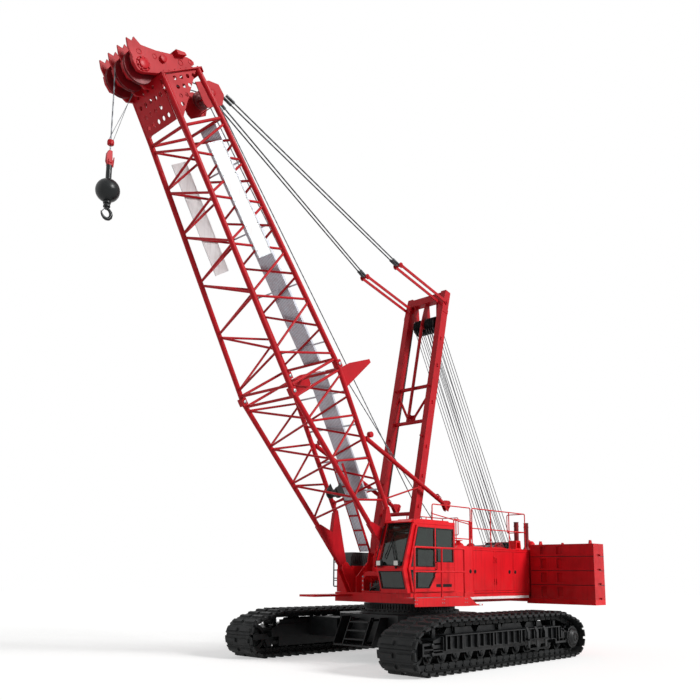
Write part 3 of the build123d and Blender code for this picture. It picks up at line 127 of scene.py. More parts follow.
# A coated or bare metal surface: mottled colour, rain streaks, settled dust, edges rubbed to what lies under,
# and a fine bump.
def weatheredSurface(name, look):
    material, tree = emptyMaterial(name)
    place = addNode(tree, "ShaderNodeTexCoord").outputs["Object"]
    mottle = addNode(tree, "ShaderNodeTexNoise", {"Vector": place, "Scale": patternScale(look["mottleMm"]),
            "Detail": 3.0})
    patch = addNode(tree, "ShaderNodeMapRange", {"Value": mottle, "From Min": 0.35, "From Max": 0.68})
    colour = addNode(tree, "ShaderNodeMix", {0: patch, 6: look["colour"], 7: look["shade"]}, data_type="RGBA")
    upright = addNode(tree, "ShaderNodeMapping", {"Vector": place, "Scale": (1.0, 1.0, 0.06)})
    runs = addNode(tree, "ShaderNodeTexNoise", {"Vector": upright, "Scale": patternScale(look["streakMm"]),
            "Detail": 4.0})
    runShare = addNode(tree, "ShaderNodeMapRange", {"Value": runs, "From Min": 0.52, "From Max": 0.78,
            "To Max": look["streak"]})
    colour = addNode(tree, "ShaderNodeMix", {0: runShare, 6: colour, 7: look["grime"]}, data_type="RGBA")
    height = addNode(tree, "ShaderNodeSeparateXYZ", {0: place}).outputs["Z"]
    low = addNode(tree, "ShaderNodeMapRange", {"Value": height, "From Min": look["dustTop"],
            "From Max": look["dustFoot"], "To Max": look["dust"]})
    powder = addNode(tree, "ShaderNodeTexNoise", {"Vector": place, "Scale": patternScale(look["dustMm"]),
            "Detail": 5.0, "Roughness": 0.65})
    powderShare = addNode(tree, "ShaderNodeMapRange", {"Value": powder, "From Min": 0.35, "From Max": 0.7})
    dust = addNode(tree, "ShaderNodeMath", {0: low, 1: powderShare}, operation="MULTIPLY")
    colour = addNode(tree, "ShaderNodeMix", {0: dust, 6: colour, 7: look["dustColour"]}, data_type="RGBA")
    rounded = addNode(tree, "ShaderNodeBevel", {"Radius": look["edgeMm"] / 1000.0}, samples=4)
    facing = addNode(tree, "ShaderNodeNewGeometry").outputs["Normal"]
    match = addNode(tree, "ShaderNodeVectorMath", {0: rounded, 1: facing}, operation="DOT_PRODUCT").outputs["Value"]
    edge = addNode(tree, "ShaderNodeMapRange", {"Value": match, "From Min": 0.985, "From Max": 0.86})
    chips = addNode(tree, "ShaderNodeTexNoise", {"Vector": place, "Scale": patternScale(look["chipMm"]),
            "Detail": 4.0, "Roughness": 0.7})
    chipShare = addNode(tree, "ShaderNodeMapRange", {"Value": chips, "From Min": 0.5, "From Max": 0.62,
            "To Max": look["wear"]})
    wear = addNode(tree, "ShaderNodeMath", {0: edge, 1: chipShare}, operation="MULTIPLY")
    colour = addNode(tree, "ShaderNodeMix", {0: wear, 6: colour, 7: look["bare"]}, data_type="RGBA")
    fine = addNode(tree, "ShaderNodeTexNoise", {"Vector": place, "Scale": patternScale(look["grainMm"]),
            "Detail": 3.0})
    bump = addNode(tree, "ShaderNodeBump", {"Height": fine, "Strength": look["bump"],
            "Distance": look["bumpMm"] / 1000.0, "Normal": rounded})
    rough = addNode(tree, "ShaderNodeMapRange", {"Value": mottle, "From Min": 0.3, "From Max": 0.7,
            "To Min": look["roughness"] - look["roughnessSpread"], "To Max": look["roughness"]
            + look["roughnessSpread"]})
    dulled = addNode(tree, "ShaderNodeMath", {0: dust, 1: 0.3, 2: rough}, operation="MULTIPLY_ADD", use_clamp=True)
    shader = addNode(tree, "ShaderNodeBsdfPrincipled", {"Base Color": colour, "Roughness": dulled, "Normal": bump,
            "Metallic": look["metallic"], "Coat Weight": look["coat"], "Coat Roughness": 0.22})
    if look["metallic"] < 0.5:
        shader.inputs["IOR"].default_value = look["ior"]
    addNode(tree, "ShaderNodeOutputMaterial", {"Surface": shader})
    return material


enamelLook = {    # two-coat polyurethane enamel sprayed on steel: even, lightly glossy, orange peel close up
    "colour": "#e31823", "shade": "#d2131d", "grime": "#75080f", "bare": "#5e4a46",
    "mottleMm": 900.0, "streak": 0.3, "streakMm": 70.0, "dust": 0.3, "dustTop": 2.6, "dustFoot": 1.2, "dustMm": 240.0,
    "dustColour": "#9c5148", "edgeMm": 8.0, "chipMm": 45.0, "wear": 0.5, "grainMm": 14.0, "bump": 0.25, "bumpMm": 1.2,
    "roughness": 0.4, "roughnessSpread": 0.06, "metallic": 0.0, "coat": 0.05, "ior": 1.25,
}
# painted shade: the boom, mast and head take the house's red enamel painted darker, for the thin lattice in shade
boomShadedEnamelLook = dict(enamelLook, colour="#bc1420", shade="#a9101a", coat=0.02, mottleMm=500.0,
        edgeMm=5.0, dust=0.0, grainMm=9.0)
weightEnamelLook = dict(enamelLook, colour="#cc1620", shade="#b5111a", mottleMm=420.0, bump=0.5, bumpMm=4.0,
        grainMm=38.0, roughness=0.5, coat=0.15, chipMm=70.0, wear=0.75, edgeMm=14.0)    # enamel over rough cast iron
trackLook = {    # cast manganese steel shoes: dull black, polished where they meet the ground
    "colour": "#111315", "shade": "#1a1c1d", "grime": "#070808", "bare": "#4d4f50", "mottleMm": 160.0, "streak": 0.2,
    "streakMm": 70.0, "dust": 0.32, "dustTop": 1.4, "dustFoot": 0.0, "dustMm": 120.0,
    "dustColour": "#35332f", "edgeMm": 7.0,
    "chipMm": 30.0, "wear": 0.5, "grainMm": 16.0, "bump": 0.6, "bumpMm": 3.0, "roughness": 0.58,
    "roughnessSpread": 0.1,
    "metallic": 0.0, "coat": 0.0, "ior": 1.32,
}
chassisLook = dict(trackLook, colour="#0c0e10", shade="#121416", dust=0.2, wear=0.35, roughness=0.45,
        bump=0.3, bumpMm=1.5, coat=0.1)    # black chassis enamel on welded plate
castBlackLook = dict(trackLook, colour="#0f1214", shade="#16191a", dust=0.0, wear=0.3, roughness=0.36, grainMm=22.0,
        bump=0.45, bumpMm=2.5, coat=0.1)    # black painted iron casting
darkMachineLook = dict(trackLook, colour="#232222", shade="#2f2d2d", dust=0.0, wear=0.4, roughness=0.5,
        coat=0.1, bump=0.3, bumpMm=1.5)    # dark paint on winches, engine and tank
exhaustLook = dict(trackLook, colour="#8a2024", shade="#6d1a1c", grime="#3a1c19", bare="#5c4a44", dust=0.0, wear=0.5,
        roughness=0.6, streak=0.7, mottleMm=120.0)    # red heat-proof paint, browned by the exhaust
sheaveLook = dict(trackLook, colour="#8c1820", shade="#6d1219", bare="#9a9a98", dust=0.0, wear=0.7,
        roughness=0.4, coat=0.2)    # red enamel worn to bare iron
boardLook = dict(enamelLook, colour="#f6f5f5", shade="#eeedee", grime="#b3aaa6", bare="#9c9a99", streak=0.3, dust=0.0,
        mottleMm=600.0, roughness=0.42, grainMm=20.0)    # white coated aluminium sheet
stripeLook = dict(boardLook, colour="#efe9e6", edgeMm=2.0)    # white paint of the sill stripe
vinylLook = dict(trackLook, colour="#6d2a30", shade="#56212a", dust=0.0, wear=0.1, roughness=0.6, grainMm=5.0,
        bump=0.5, bumpMm=0.8, streak=0.0)    # dull red grained vinyl
gasketLook = dict(trackLook, colour="#0f1011", shade="#171819", dust=0.0, wear=0.15, roughness=0.7, grainMm=8.0,
        streak=0.1, edgeMm=2.0)    # matt black rubber
# grey moulded plastic
cabInteriorLook = dict(trackLook, colour="#2c3034", shade="#23262a", dust=0.0, wear=0.1, roughness=0.75, streak=0.0)
# clear lens over a white reflector
lampLook = dict(boardLook, colour="#f4f2ee", shade="#e6e4e0", roughness=0.2, coat=0.6, streak=0.1, edgeMm=2.0)

craneRedEnamel = weatheredSurface("sprayedRedEnamel", enamelLook)
boomShadedRedEnamel = weatheredSurface("latticeRedEnamelPaintedShade", boomShadedEnamelLook)
weightEnamel = weatheredSurface("castWeightEnamel", weightEnamelLook)
trackSteel = weatheredSurface("castTrackSteel", trackLook)
chassisBlack = weatheredSurface("chassisBlackEnamel", chassisLook)
castBlack = weatheredSurface("blackIronCasting", castBlackLook)
machineDark = weatheredSurface("darkMachinePaint", darkMachineLook)
exhaustSteel = weatheredSurface("heatBrownedPaint", exhaustLook)
sheaveIron = weatheredSurface("paintedSheaveIron", sheaveLook)
boardSheet = weatheredSurface("whiteCoatedSheet", boardLook)
stripePaint = weatheredSurface("whiteSillPaint", stripeLook)
seatVinyl = weatheredSurface("seatVinyl", vinylLook)
windowRubber = weatheredSurface("windowRubber", gasketLook)
cabTrim = weatheredSurface("cabTrimPlastic", cabInteriorLook)
lampLens = weatheredSurface("clearLampLens", lampLook)


# Hot-dip galvanised steel: pale grey, with the crystal spangle of the zinc and a soft sheen.
def galvanisedSteel(name, look):
    material, tree = emptyMaterial(name)
    place = addNode(tree, "ShaderNodeTexCoord").outputs["Object"]
    spangle = addNode(tree, "ShaderNodeTexVoronoi", {"Vector": place, "Scale": patternScale(look["spangleMm"])})
    tone = addNode(tree, "ShaderNodeSeparateColor", {0: spangle.outputs["Color"]})
    colour = addNode(tree, "ShaderNodeMix", {0: tone, 6: look["colour"], 7: look["shade"]}, data_type="RGBA")
    stain = addNode(tree, "ShaderNodeTexNoise", {"Vector": place, "Scale": patternScale(look["stainMm"]),
            "Detail": 5.0})
    stainShare = addNode(tree, "ShaderNodeMapRange", {"Value": stain, "From Min": 0.5,
            "From Max": 0.75, "To Max": 0.5})
    colour = addNode(tree, "ShaderNodeMix", {0: stainShare, 6: colour, 7: look["stain"]}, data_type="RGBA")
    rough = addNode(tree, "ShaderNodeMapRange", {"Value": tone, "To Min": 0.34, "To Max": 0.52})
    bump = addNode(tree, "ShaderNodeBump", {"Height": spangle.outputs["Distance"],
            "Strength": 0.15, "Distance": 0.001})
    shader = addNode(tree, "ShaderNodeBsdfPrincipled", {"Base Color": colour, "Roughness": rough,
            "Normal": bump, "Metallic": 0.8})
    addNode(tree, "ShaderNodeOutputMaterial", {"Surface": shader})
    return material


galvanised = galvanisedSteel("galvanisedSteel", {"colour": "#a9adb0", "shade": "#888c90", "stain": "#5f605e",
        "spangleMm": 22.0, "stainMm": 260.0})


# Laid wire rope: drawn steel strands under a film of grease. The lay is coarser than the real one, to show. The
# valleys between the strands are painted darker as painted shade.
def laidRope(name, look):
    material, tree = emptyMaterial(name)
    place = addNode(tree, "ShaderNodeTexCoord").outputs["Object"]
    strands = addNode(tree, "ShaderNodeTexWave", {"Vector": place, "Scale": patternScale(look["layMm"]) / (2 * pi),
            "Distortion": 0.4, "Detail": 1.0}, wave_type="BANDS", bands_direction="DIAGONAL")
    grease = addNode(tree, "ShaderNodeTexNoise", {"Vector": place, "Scale": patternScale(look["greaseMm"]),
            "Detail": 4.0})
    film = addNode(tree, "ShaderNodeMapRange", {"Value": grease, "From Min": 0.45, "From Max": 0.7,
            "To Max": look["grease"]})
    # painted shade: the groove colour darkens the valleys between the strands
    colour = addNode(tree, "ShaderNodeMix", {0: strands.outputs["Fac"], 6: look["groove"],
            7: look["colour"]}, data_type="RGBA")
    colour = addNode(tree, "ShaderNodeMix", {0: film, 6: colour, 7: look["greaseColour"]}, data_type="RGBA")
    bump = addNode(tree, "ShaderNodeBump", {"Height": strands.outputs["Fac"], "Strength": 0.6, "Distance": 0.002})
    rough = addNode(tree, "ShaderNodeMapRange", {"Value": grease, "From Min": 0.3, "From Max": 0.7,
            "To Min": look["roughness"] + 0.08, "To Max": look["roughness"] - 0.08})
    shader = addNode(tree, "ShaderNodeBsdfPrincipled", {"Base Color": colour, "Roughness": rough, "Normal": bump,
            "Metallic": look["metallic"]})
    addNode(tree, "ShaderNodeOutputMaterial", {"Surface": shader})
    return material


wireRope = laidRope("laidWireRope", {"colour": "#85888d", "groove": "#44464a", "grease": 0.5,
        "greaseColour": "#2e2b28", "layMm": 60.0, "greaseMm": 900.0, "roughness": 0.45, "metallic": 0.7})
pendantRope = laidRope("greasedPendantRope", {"colour": "#5c5e62", "groove": "#303236", "grease": 0.5,
        "greaseColour": "#232120", "layMm": 80.0, "greaseMm": 700.0, "roughness": 0.5, "metallic": 0.6})


# Extruded aluminium planks with a ribbed tread; the ribs run along the boom, and the grooves between them are painted
# darker as painted shade.
def ribbedPlank(name, look):
    material, tree = emptyMaterial(name)
    place = addNode(tree, "ShaderNodeTexCoord").outputs["Object"]
    across = addNode(tree, "ShaderNodeSeparateXYZ", {0: place}).outputs["Y"]
    turns = addNode(tree, "ShaderNodeMath", {0: across, 1: 2 * pi * patternScale(look["ribMm"])}, operation="MULTIPLY")
    ribs = addNode(tree, "ShaderNodeMath", {0: turns}, operation="SINE")
    crest = addNode(tree, "ShaderNodeMapRange", {"Value": ribs, "From Min": -0.6, "From Max": 0.4})
    scuffs = addNode(tree, "ShaderNodeTexNoise", {"Vector": place, "Scale": patternScale(look["scuffMm"]),
            "Detail": 5.0, "Roughness": 0.7})
    scuffShare = addNode(tree, "ShaderNodeMapRange", {"Value": scuffs, "From Min": 0.5,
            "From Max": 0.75, "To Max": 0.5})
    # painted shade: the groove colour darkens the hollows between the ribs
    colour = addNode(tree, "ShaderNodeMix", {0: crest, 6: look["groove"], 7: look["colour"]}, data_type="RGBA")
    colour = addNode(tree, "ShaderNodeMix", {0: scuffShare, 6: colour, 7: look["scuff"]}, data_type="RGBA")
    bump = addNode(tree, "ShaderNodeBump", {"Height": ribs, "Strength": 0.5, "Distance": 0.004})
    rough = addNode(tree, "ShaderNodeMapRange", {"Value": scuffs, "From Min": 0.3, "From Max": 0.7,
            "To Min": look["roughness"] - 0.08, "To Max": look["roughness"] + 0.12})
    shader = addNode(tree, "ShaderNodeBsdfPrincipled", {"Base Color": colour, "Roughness": rough, "Normal": bump,
            "Metallic": look["metallic"]})
    addNode(tree, "ShaderNodeOutputMaterial", {"Surface": shader})
    return material


plankAluminium = ribbedPlank("ribbedAluminium", {"colour": "#c2c4cc", "groove": "#8c8e98", "scuff": "#9a8f92",
        "ribMm": 50.0, "scuffMm": 180.0, "roughness": 0.42, "metallic": 0.6})


# Green-grey tinted safety glass with a little dust on it.
def tintedGlassPane(name, look):
    material, tree = emptyMaterial(name)
    place = addNode(tree, "ShaderNodeTexCoord").outputs["Object"]
    film = addNode(tree, "ShaderNodeTexNoise", {"Vector": place, "Scale": patternScale(look["filmMm"]), "Detail": 4.0})
    share = addNode(tree, "ShaderNodeMapRange", {"Value": film, "From Min": 0.3, "From Max": 0.8})
    colour = addNode(tree, "ShaderNodeMix", {0: share, 6: look["colour"], 7: look["shade"]}, data_type="RGBA")
    rough = addNode(tree, "ShaderNodeMapRange", {"Value": film, "From Min": 0.4, "From Max": 0.8, "To Min": 0.02,
            "To Max": look["filmRoughness"]})
    shader = addNode(tree, "ShaderNodeBsdfPrincipled", {"Base Color": colour, "Roughness": rough, "IOR": 1.45,
            "Transmission Weight": 0.85})
    addNode(tree, "ShaderNodeOutputMaterial", {"Surface": shader})
    return material


tintedGlass = tintedGlassPane("tintedSafetyGlass", {"colour": "#40554c", "shade": "#364a42",
        "filmMm": 350.0, "filmRoughness": 0.1})

nodeFinishes = (
    (trackSteel, ["left_track", "right_track", "left_track_wheels", "right_track_wheels"]),
    (chassisBlack, ["carbody", "carbody_steps", "slew_ring", "left_track_frame", "right_track_frame"]),
    (craneRedEnamel, ["rotating_bed", "pivot_brackets", "house_walls", "deck_rails", "cab_walkway", "cab_shell",
                      "cab_door", "cab_base", "right_front_box", "winch_frames", "counterweight_tray"]),
    (craneRedEnamel, [side + "_engine_door_" + number for side in ("left", "right") for number in "123"]),
    (weightEnamel, ["left_counterweights", "right_counterweights"]),
    (boomShadedRedEnamel, ["boom_feet", "butt_chords", "butt_lacings", "section_lugs", "top_chords", "top_lacings",
                     "head_plates", "head_cheeks", "boom_stops", "rope_guide", "mast_legs", "mast_cross_members",
                     "mast_top_block", "pendant_links", "trip_weight"]),
    (sheaveIron, ["head_sheaves", "boom_hoist_drum"]),
    (castBlack, ["overhaul_ball", "hook", "mast_sheaves"]),
    (machineDark, ["engine_block", "hydraulic_tank", "front_hoist_drum", "rear_hoist_drum"]),
    (exhaustSteel, ["exhaust_pipes"]),
    (plankAluminium, ["boom_catwalk"]),
    (boardSheet, ["sign_boards"]),
    (wireRope, ["hoist_line"]),
    (pendantRope, ["pendant_ropes"]),
    (tintedGlass, ["cab_glass", "cab_door_glass"]),
    (seatVinyl, ["operator_seat"]),
)
for material, names in nodeFinishes:
    for name in names:
        for slot in frame["nodes"][name].material_slots:
            slot.material = material
print("finishes set on the frame")


bothSides = ((1, "Left"), (-1, "Right"))


def rect(u0, v0, u1, v1):
    return [(u0, v0), (u1, v0), (u1, v1), (u0, v1)]


def spread(side, near, far):    # a range on one side of the middle, lowest first
    return sorted((side * near, side * far))


def angles(count, shift=0.0):    # equal steps round a circle
    return [2 * pi * (i + shift) / count for i in range(count)]


def upright(x, z, y):    # side view outlines, in x and z, at a y
    return Vector((x, y, z))


def addLoop(bm, points):
    return [bm.verts.new(point) for point in points]


def addPrism(bm, outline, low, high, at=upright):
    first = addLoop(bm, [at(u, v, low) for u, v in outline])
    last = addLoop(bm, [at(u, v, high) for u, v in outline])
    count = len(outline)
    bm.faces.new(first)
    bm.faces.new(last[::-1])
    for i in range(count):
        bm.faces.new((first[i], last[i], last[(i + 1) % count], first[(i + 1) % count]))


def addFrame(bm, outer, inner, low, high, at=upright):    # a prism with a hole, both outlines with as many corners
    loops = [addLoop(bm, [at(u, v, h) for u, v in outline])
            for outline, h in ((outer, low), (outer, high), (inner, high), (inner, low))]
    count = len(outer)
    for first, second in zip(loops, loops[1:] + loops[:1]):
        for i in range(count):
            j = (i + 1) % count
            bm.faces.new((first[i], second[i], second[j], first[j]))


def addBlock(bm, low, high):
    x0, y0, z0 = low
    x1, y1, z1 = high
    addPrism(bm, rect(x0, z0, x1, z1), y0, y1)


def besideOf(axis):    # two directions square to an axis
    axis = Vector(axis).normalized()
    side = axis.cross(Vector((0, 0, 1)) if abs(axis.z) < 0.9 else Vector((1, 0, 0))).normalized()
    return axis, side, axis.cross(side)


def ringOfVerts(bm, middle, side, up, radius, sides):
    return [bm.verts.new(middle + (side * cos(a) + up * sin(a)) * radius) for a in angles(sides)]


def addLathe(bm, centre, axis, profile, sides=24):    # profile: distance along the axis, radius; closed on to the axis
    axis, side, up = besideOf(axis)
    profile = [(profile[0][0], 0), *profile] + ([(profile[-1][0], 0)] if profile[-1][1] else [])
    rings = []
    for along, radius in profile:
        middle = Vector(centre) + axis * along
        rings.append(ringOfVerts(bm, middle, side, up, radius, sides) if radius else [bm.verts.new(middle)])
    for low, high in zip(rings, rings[1:]):
        for i in range(sides):
            j = (i + 1) % sides
            face = [low[i % len(low)], low[j % len(low)], high[j % len(high)], high[i % len(high)]]
            bm.faces.new([v for n, v in enumerate(face) if v not in face[:n]])


def addTube(bm, start, end, radius, sides=14):
    start, end = Vector(start), Vector(end)
    length = (end - start).length
    addLathe(bm, start, end - start, [(0, radius), (length, radius)], sides)


def addRing(bm, centre, axis, profile, sides=32):    # a closed profile that stays off the axis
    axis, side, up = besideOf(axis)
    rings = [ringOfVerts(bm, Vector(centre) + axis * along, side, up, radius, sides) for along, radius in profile]
    for low, high in zip(rings, rings[1:] + rings[:1]):
        for i in range(sides):
            bm.faces.new((low[i], low[(i + 1) % sides], high[(i + 1) % sides], high[i]))


def bakedMesh(holder):    # the mesh of an object with its modifiers, in place of the object
    mesh = bpy.data.meshes.new_from_object(holder.evaluated_get(bpy.context.evaluated_depsgraph_get()))
    bpy.data.objects.remove(holder)
    return mesh


def addBentTube(bm, points, radius, corner=0.08, closed=False):    # tube bent round its corners
    curve = bpy.data.curves.new("bend", "CURVE")
    curve.dimensions = "3D"
    curve.bevel_depth, curve.bevel_resolution, curve.use_fill_caps = radius, 2, True
    curve.resolution_u = 4
    route = [Vector(p) for p in points]
    path = [] if closed else [route[0]]
    for i, point in enumerate(route):
        if not closed and i in (0, len(route) - 1):
            continue
        before, after = route[i - 1], route[(i + 1) % len(route)]
        back, ahead = before - point, after - point
        path += [point + back.normalized() * min(corner, back.length / 2.1), point,
                point + ahead.normalized() * min(corner, ahead.length / 2.1)]
    if not closed:
        path.append(route[-1])
    spline = curve.splines.new("NURBS")
    spline.points.add(len(path) - 1)
    for target, point in zip(spline.points, path):
        target.co = (*point, 1.0)
    spline.use_cyclic_u = closed
    spline.order_u = 3
    spline.use_endpoint_u = not closed
    mesh = bakedMesh(newObject("bend", curve))
    bm.from_mesh(mesh)
    bpy.data.curves.remove(curve)
    bpy.data.meshes.remove(mesh)


def meshFrom(name, bm):
    bmesh.ops.recalc_face_normals(bm, faces=bm.faces)
    mesh = bpy.data.meshes.new(name)
    bm.to_mesh(mesh)
    bm.free()
    return mesh


def finishPiece(name, bm, material, body, edgeMm=0.0, smooth=35.0):    # with its corners cut by edgeMm
    bmesh.ops.remove_doubles(bm, verts=bm.verts, dist=1e-5)
    if edgeMm:
        corners = [e for e in bm.edges if len(e.link_faces) == 2 and e.calc_face_angle(0) > radians(40)]
        bmesh.ops.bevel(bm, geom=corners, offset=edgeMm / 1000.0, segments=1, affect="EDGES", clamp_overlap=True)
    return placePiece(name, meshFrom(name, bm), material, body, smooth)


def placePiece(name, mesh, material, body, smooth=35.0):
    mesh.materials.clear()
    mesh.materials.append(material)
    mesh.shade_smooth()
    mesh.set_sharp_from_angle(angle=radians(smooth))
    piece = newObject(name, mesh)
    if body:
        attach(piece, body)
    return piece


def newTree(name, sockets):
    tree = bpy.data.node_groups.new(name, "GeometryNodeTree")
    tree.interface.new_socket("Geometry", in_out="INPUT", socket_type="NodeSocketGeometry")
    for label, kind in sockets.items():
        tree.interface.new_socket(label, in_out="INPUT", socket_type="NodeSocket" + kind)
    tree.interface.new_socket("Geometry", in_out="OUTPUT", socket_type="NodeSocketGeometry")
    return tree, addNode(tree, "NodeGroupInput").outputs


def endTree(tree, shape, material):
    real = addNode(tree, "GeometryNodeRealizeInstances", {0: shape})
    made = addNode(tree, "GeometryNodeSetMaterial", {"Geometry": real, "Material": material})
    addNode(tree, "NodeGroupOutput", {0: made})
    return tree


# Puts one part on every point; the points say which way the part runs and which way it faces.
def partsOnPointsTree():
    tree, given = newTree("partsOnPoints", {"Part": "Object", "Size": "Float", "Finish": "Material"})
    part = addNode(tree, "GeometryNodeObjectInfo", {"Object": given["Part"]}).outputs["Geometry"]
    runs = addNode(tree, "GeometryNodeInputNamedAttribute", {"Name": "runs"},
            data_type="FLOAT_VECTOR").outputs["Attribute"]
    faces = addNode(tree, "GeometryNodeInputNamedAttribute", {"Name": "faces"},
            data_type="FLOAT_VECTOR").outputs["Attribute"]
    turned = addNode(tree, "FunctionNodeAlignRotationToVector", {"Vector": faces}, axis="Z")
    turned = addNode(tree, "FunctionNodeAlignRotationToVector", {"Rotation": turned, "Vector": runs},
            axis="X", pivot_axis="Z")
    placed = addNode(tree, "GeometryNodeInstanceOnPoints", {"Points": given["Geometry"], "Instance": part,
            "Rotation": turned, "Scale": given["Size"]})
    return endTree(tree, placed, given["Finish"])


# Winds a rope round a barrel in one layer, from one end to the other.
def ropeWindingTree():
    tree, given = newTree("ropeWinding", {"Turns": "Float", "Radius": "Float", "Length": "Float",
            "Rope Radius": "Float", "Finish": "Material"})
    coil = addNode(tree, "GeometryNodeCurveSpiral", {"Resolution": 20, "Rotations": given["Turns"],
            "Start Radius": given["Radius"], "End Radius": given["Radius"], "Height": given["Length"]})
    section = addNode(tree, "GeometryNodeCurvePrimitiveCircle", {"Resolution": 6, "Radius": given["Rope Radius"]})
    rope = addNode(tree, "GeometryNodeCurveToMesh", {"Curve": coil, "Profile Curve": section, "Fill Caps": True})
    turned = addNode(tree, "GeometryNodeTransform", {"Geometry": rope, "Rotation": (pi / 2, 0.0, 0.0)})
    start = addNode(tree, "GeometryNodeInputPosition")
    first = addNode(tree, "GeometryNodeSampleIndex", {0: given["Geometry"], 1: start, 2: 0}, data_type="FLOAT_VECTOR")
    moved = addNode(tree, "GeometryNodeTransform", {"Geometry": turned, "Translation": first})
    return endTree(tree, moved, given["Finish"])


# Stretches a row of flat bars between two points, as in a louvre, a grating or a ladder.
def barRowTree():
    tree, given = newTree("barRow", {"Count": "Int", "From": "Vector", "To": "Vector", "Bar": "Vector",
            "Tilt": "Vector", "Finish": "Material"})
    row = addNode(tree, "GeometryNodeMeshLine", {"Count": given["Count"], "Start Location": given["From"],
            "Offset": given["To"]}, mode="END_POINTS")
    bar = addNode(tree, "GeometryNodeMeshCube", {"Size": given["Bar"]})
    placed = addNode(tree, "GeometryNodeInstanceOnPoints", {"Points": row, "Instance": bar, "Rotation": given["Tilt"]})
    return endTree(tree, placed, given["Finish"])


partsOnPoints, ropeWinding, barRow = partsOnPointsTree(), ropeWindingTree(), barRowTree()


def growPiece(name, tree, values, material, body, base=None, smooth=35.0):    # the mesh a node tree makes, on a body
    holder = newObject(name + "Base", base or bpy.data.meshes.new("none"))
    growth = holder.modifiers.new("growth", "NODES")
    growth.node_group = tree
    sockets = {item.name: item.identifier
            for item in tree.interface.items_tree if item.item_type == "SOCKET" and item.in_out == "INPUT"}
    for label, value in dict(values, Finish=material).items():
        growth[sockets[label]] = value
    mesh = bakedMesh(holder)
    bm = bmesh.new()
    bm.from_mesh(mesh)
    bmesh.ops.remove_doubles(bm, verts=bm.verts, dist=1e-5)
    bm.to_mesh(mesh)
    bm.free()
    return placePiece(name, mesh, material, body, smooth)


def pointMesh(points):    # each point: place, direction it runs, direction it faces
    mesh = bpy.data.meshes.new("points")
    mesh.from_pydata([p[0] for p in points], [], [])
    for label, index in (("runs", 1), ("faces", 2)):
        layer = mesh.attributes.new(label, "FLOAT_VECTOR", "POINT")
        layer.data.foreach_set("vector", [c for p in points for c in p[index]])
    return mesh


def sparePart(name, bm):    # a part kept out of sight, to be put on points
    bmesh.ops.remove_doubles(bm, verts=bm.verts, dist=1e-5)
    return bpy.data.objects.new(name, meshFrom(name, bm))


def onPoints(name, part, points, material, body, size=1.0):
    return growPiece(name, partsOnPoints, {"Part": part, "Size": size}, material, body, pointMesh(points))


def boltCircle(centre, count, radius, side):    # bolts round an axis that runs along Y
    x, y, z = centre
    return [((x + radius * cos(a), y, z + radius * sin(a)), (cos(a), 0, sin(a)), (0, side, 0)) for a in angles(count)]


def spokePlane(centre, angle, side):    # u outwards from an axis along Y, w along the axis, h round it
    out, across = Vector((cos(angle), 0, sin(angle))), Vector((-sin(angle), 0, cos(angle)))
    return lambda u, w, h: Vector(centre) + out * u + Vector((0, side * w, 0)) + across * h


def hexBolt(width, height):    # a bolt head with its washer
    bm = bmesh.new()
    addLathe(bm, (0, 0, 0), (0, 0, 1), [(0, width * 0.72), (height * 0.2, width * 0.72)], 12)
    addLathe(bm, (0, 0, height * 0.2), (0, 0, 1), [(0, width * 0.56), (height * 0.62, width * 0.56),
            (height * 0.8, width * 0.46)], 6)
    return sparePart("hexBolt", bm)


boltM24 = hexBolt(0.036, 0.024)
boltM36 = hexBolt(0.055, 0.036)
boltM12 = hexBolt(0.019, 0.014)


boomFoot = Vector(joints["boom_luff"]["pos_m"])
mastFoot = Vector(joints["mast_luff"]["pos_m"])
boomAngle, mastAngle = radians(57.4), radians(102.6)


def onBoom(along, back, y=0.0):
    return Vector((boomFoot.x + along * cos(boomAngle) - back * sin(boomAngle), y,
            boomFoot.z + along * sin(boomAngle) + back * cos(boomAngle)))


def onMast(along, back, y=0.0):
    return Vector((mastFoot.x + along * cos(mastAngle) - back * sin(mastAngle), y,
            mastFoot.z + along * sin(mastAngle) + back * cos(mastAngle)))


def grown(outline, by):    # a side outline moved outwards by a distance
    count = len(outline)
    area = sum(outline[i][0] * outline[(i + 1) % count][1] - outline[(i + 1) % count][0] * outline[i][1]
            for i in range(count))
    turn = 1 if area > 0 else -1
    result = []
    for i in range(count):
        (ax, ay), (bx, by0), (cx, cy) = outline[i - 1], outline[i], outline[(i + 1) % count]
        first = Vector((by0 - ay, ax - bx)).normalized() * turn
        second = Vector((cy - by0, bx - cx)).normalized() * turn
        both = (first + second) / (1 + first.dot(second))
        result.append((bx + both.x * by, by0 + both.y * by))
    return result


trackValues = {
    "gauge": 5.64, "idlerX": 3.46, "idlerRadius": 0.515, "shoulderX": 2.80, "shoulderZ": 0.995, "shoulderRadius": 0.28,
    "idlerZ": 0.57, "shoes": 58, "width": 1.12, "plate": 0.06, "padHeight": 0.05,
}


def trackArcs(v):    # centre, radius and angles of each rounded corner, at the outer face of the shoe plates
    discs = [(v["idlerX"], v["idlerZ"], v["idlerRadius"]), (v["shoulderX"], v["shoulderZ"], v["shoulderRadius"])]
    (x0, z0, r0), (x1, z1, r1) = discs
    lean = atan2(z1 - z0, x1 - x0) - pi / 2 + asin((r0 - r1) / hypot(x1 - x0, z1 - z0))
    half = pi / 2
    return [(x0, z0, r0, -half, lean), (x1, z1, r1, lean, half), (-x1, z1, r1, half, pi - lean),
            (-x0, z0, r0, pi - lean, 3 * half)]


def trackPlace(arcs, distance):
    for i, (x, z, r, first, last) in enumerate(arcs):
        if distance <= r * (last - first):
            angle = first + distance / r
            return Vector((x + r * cos(angle), 0, z + r * sin(angle)))
        distance -= r * (last - first)
        nx, nz, nr, angle, _ = arcs[(i + 1) % 4]
        start = Vector((x + r * cos(last), 0, z + r * sin(last)))
        end = Vector((nx + nr * cos(angle), 0, nz + nr * sin(angle)))
        if distance <= (end - start).length:
            return start.lerp(end, distance / (end - start).length)
        distance -= (end - start).length
    return trackPlace(arcs, distance)


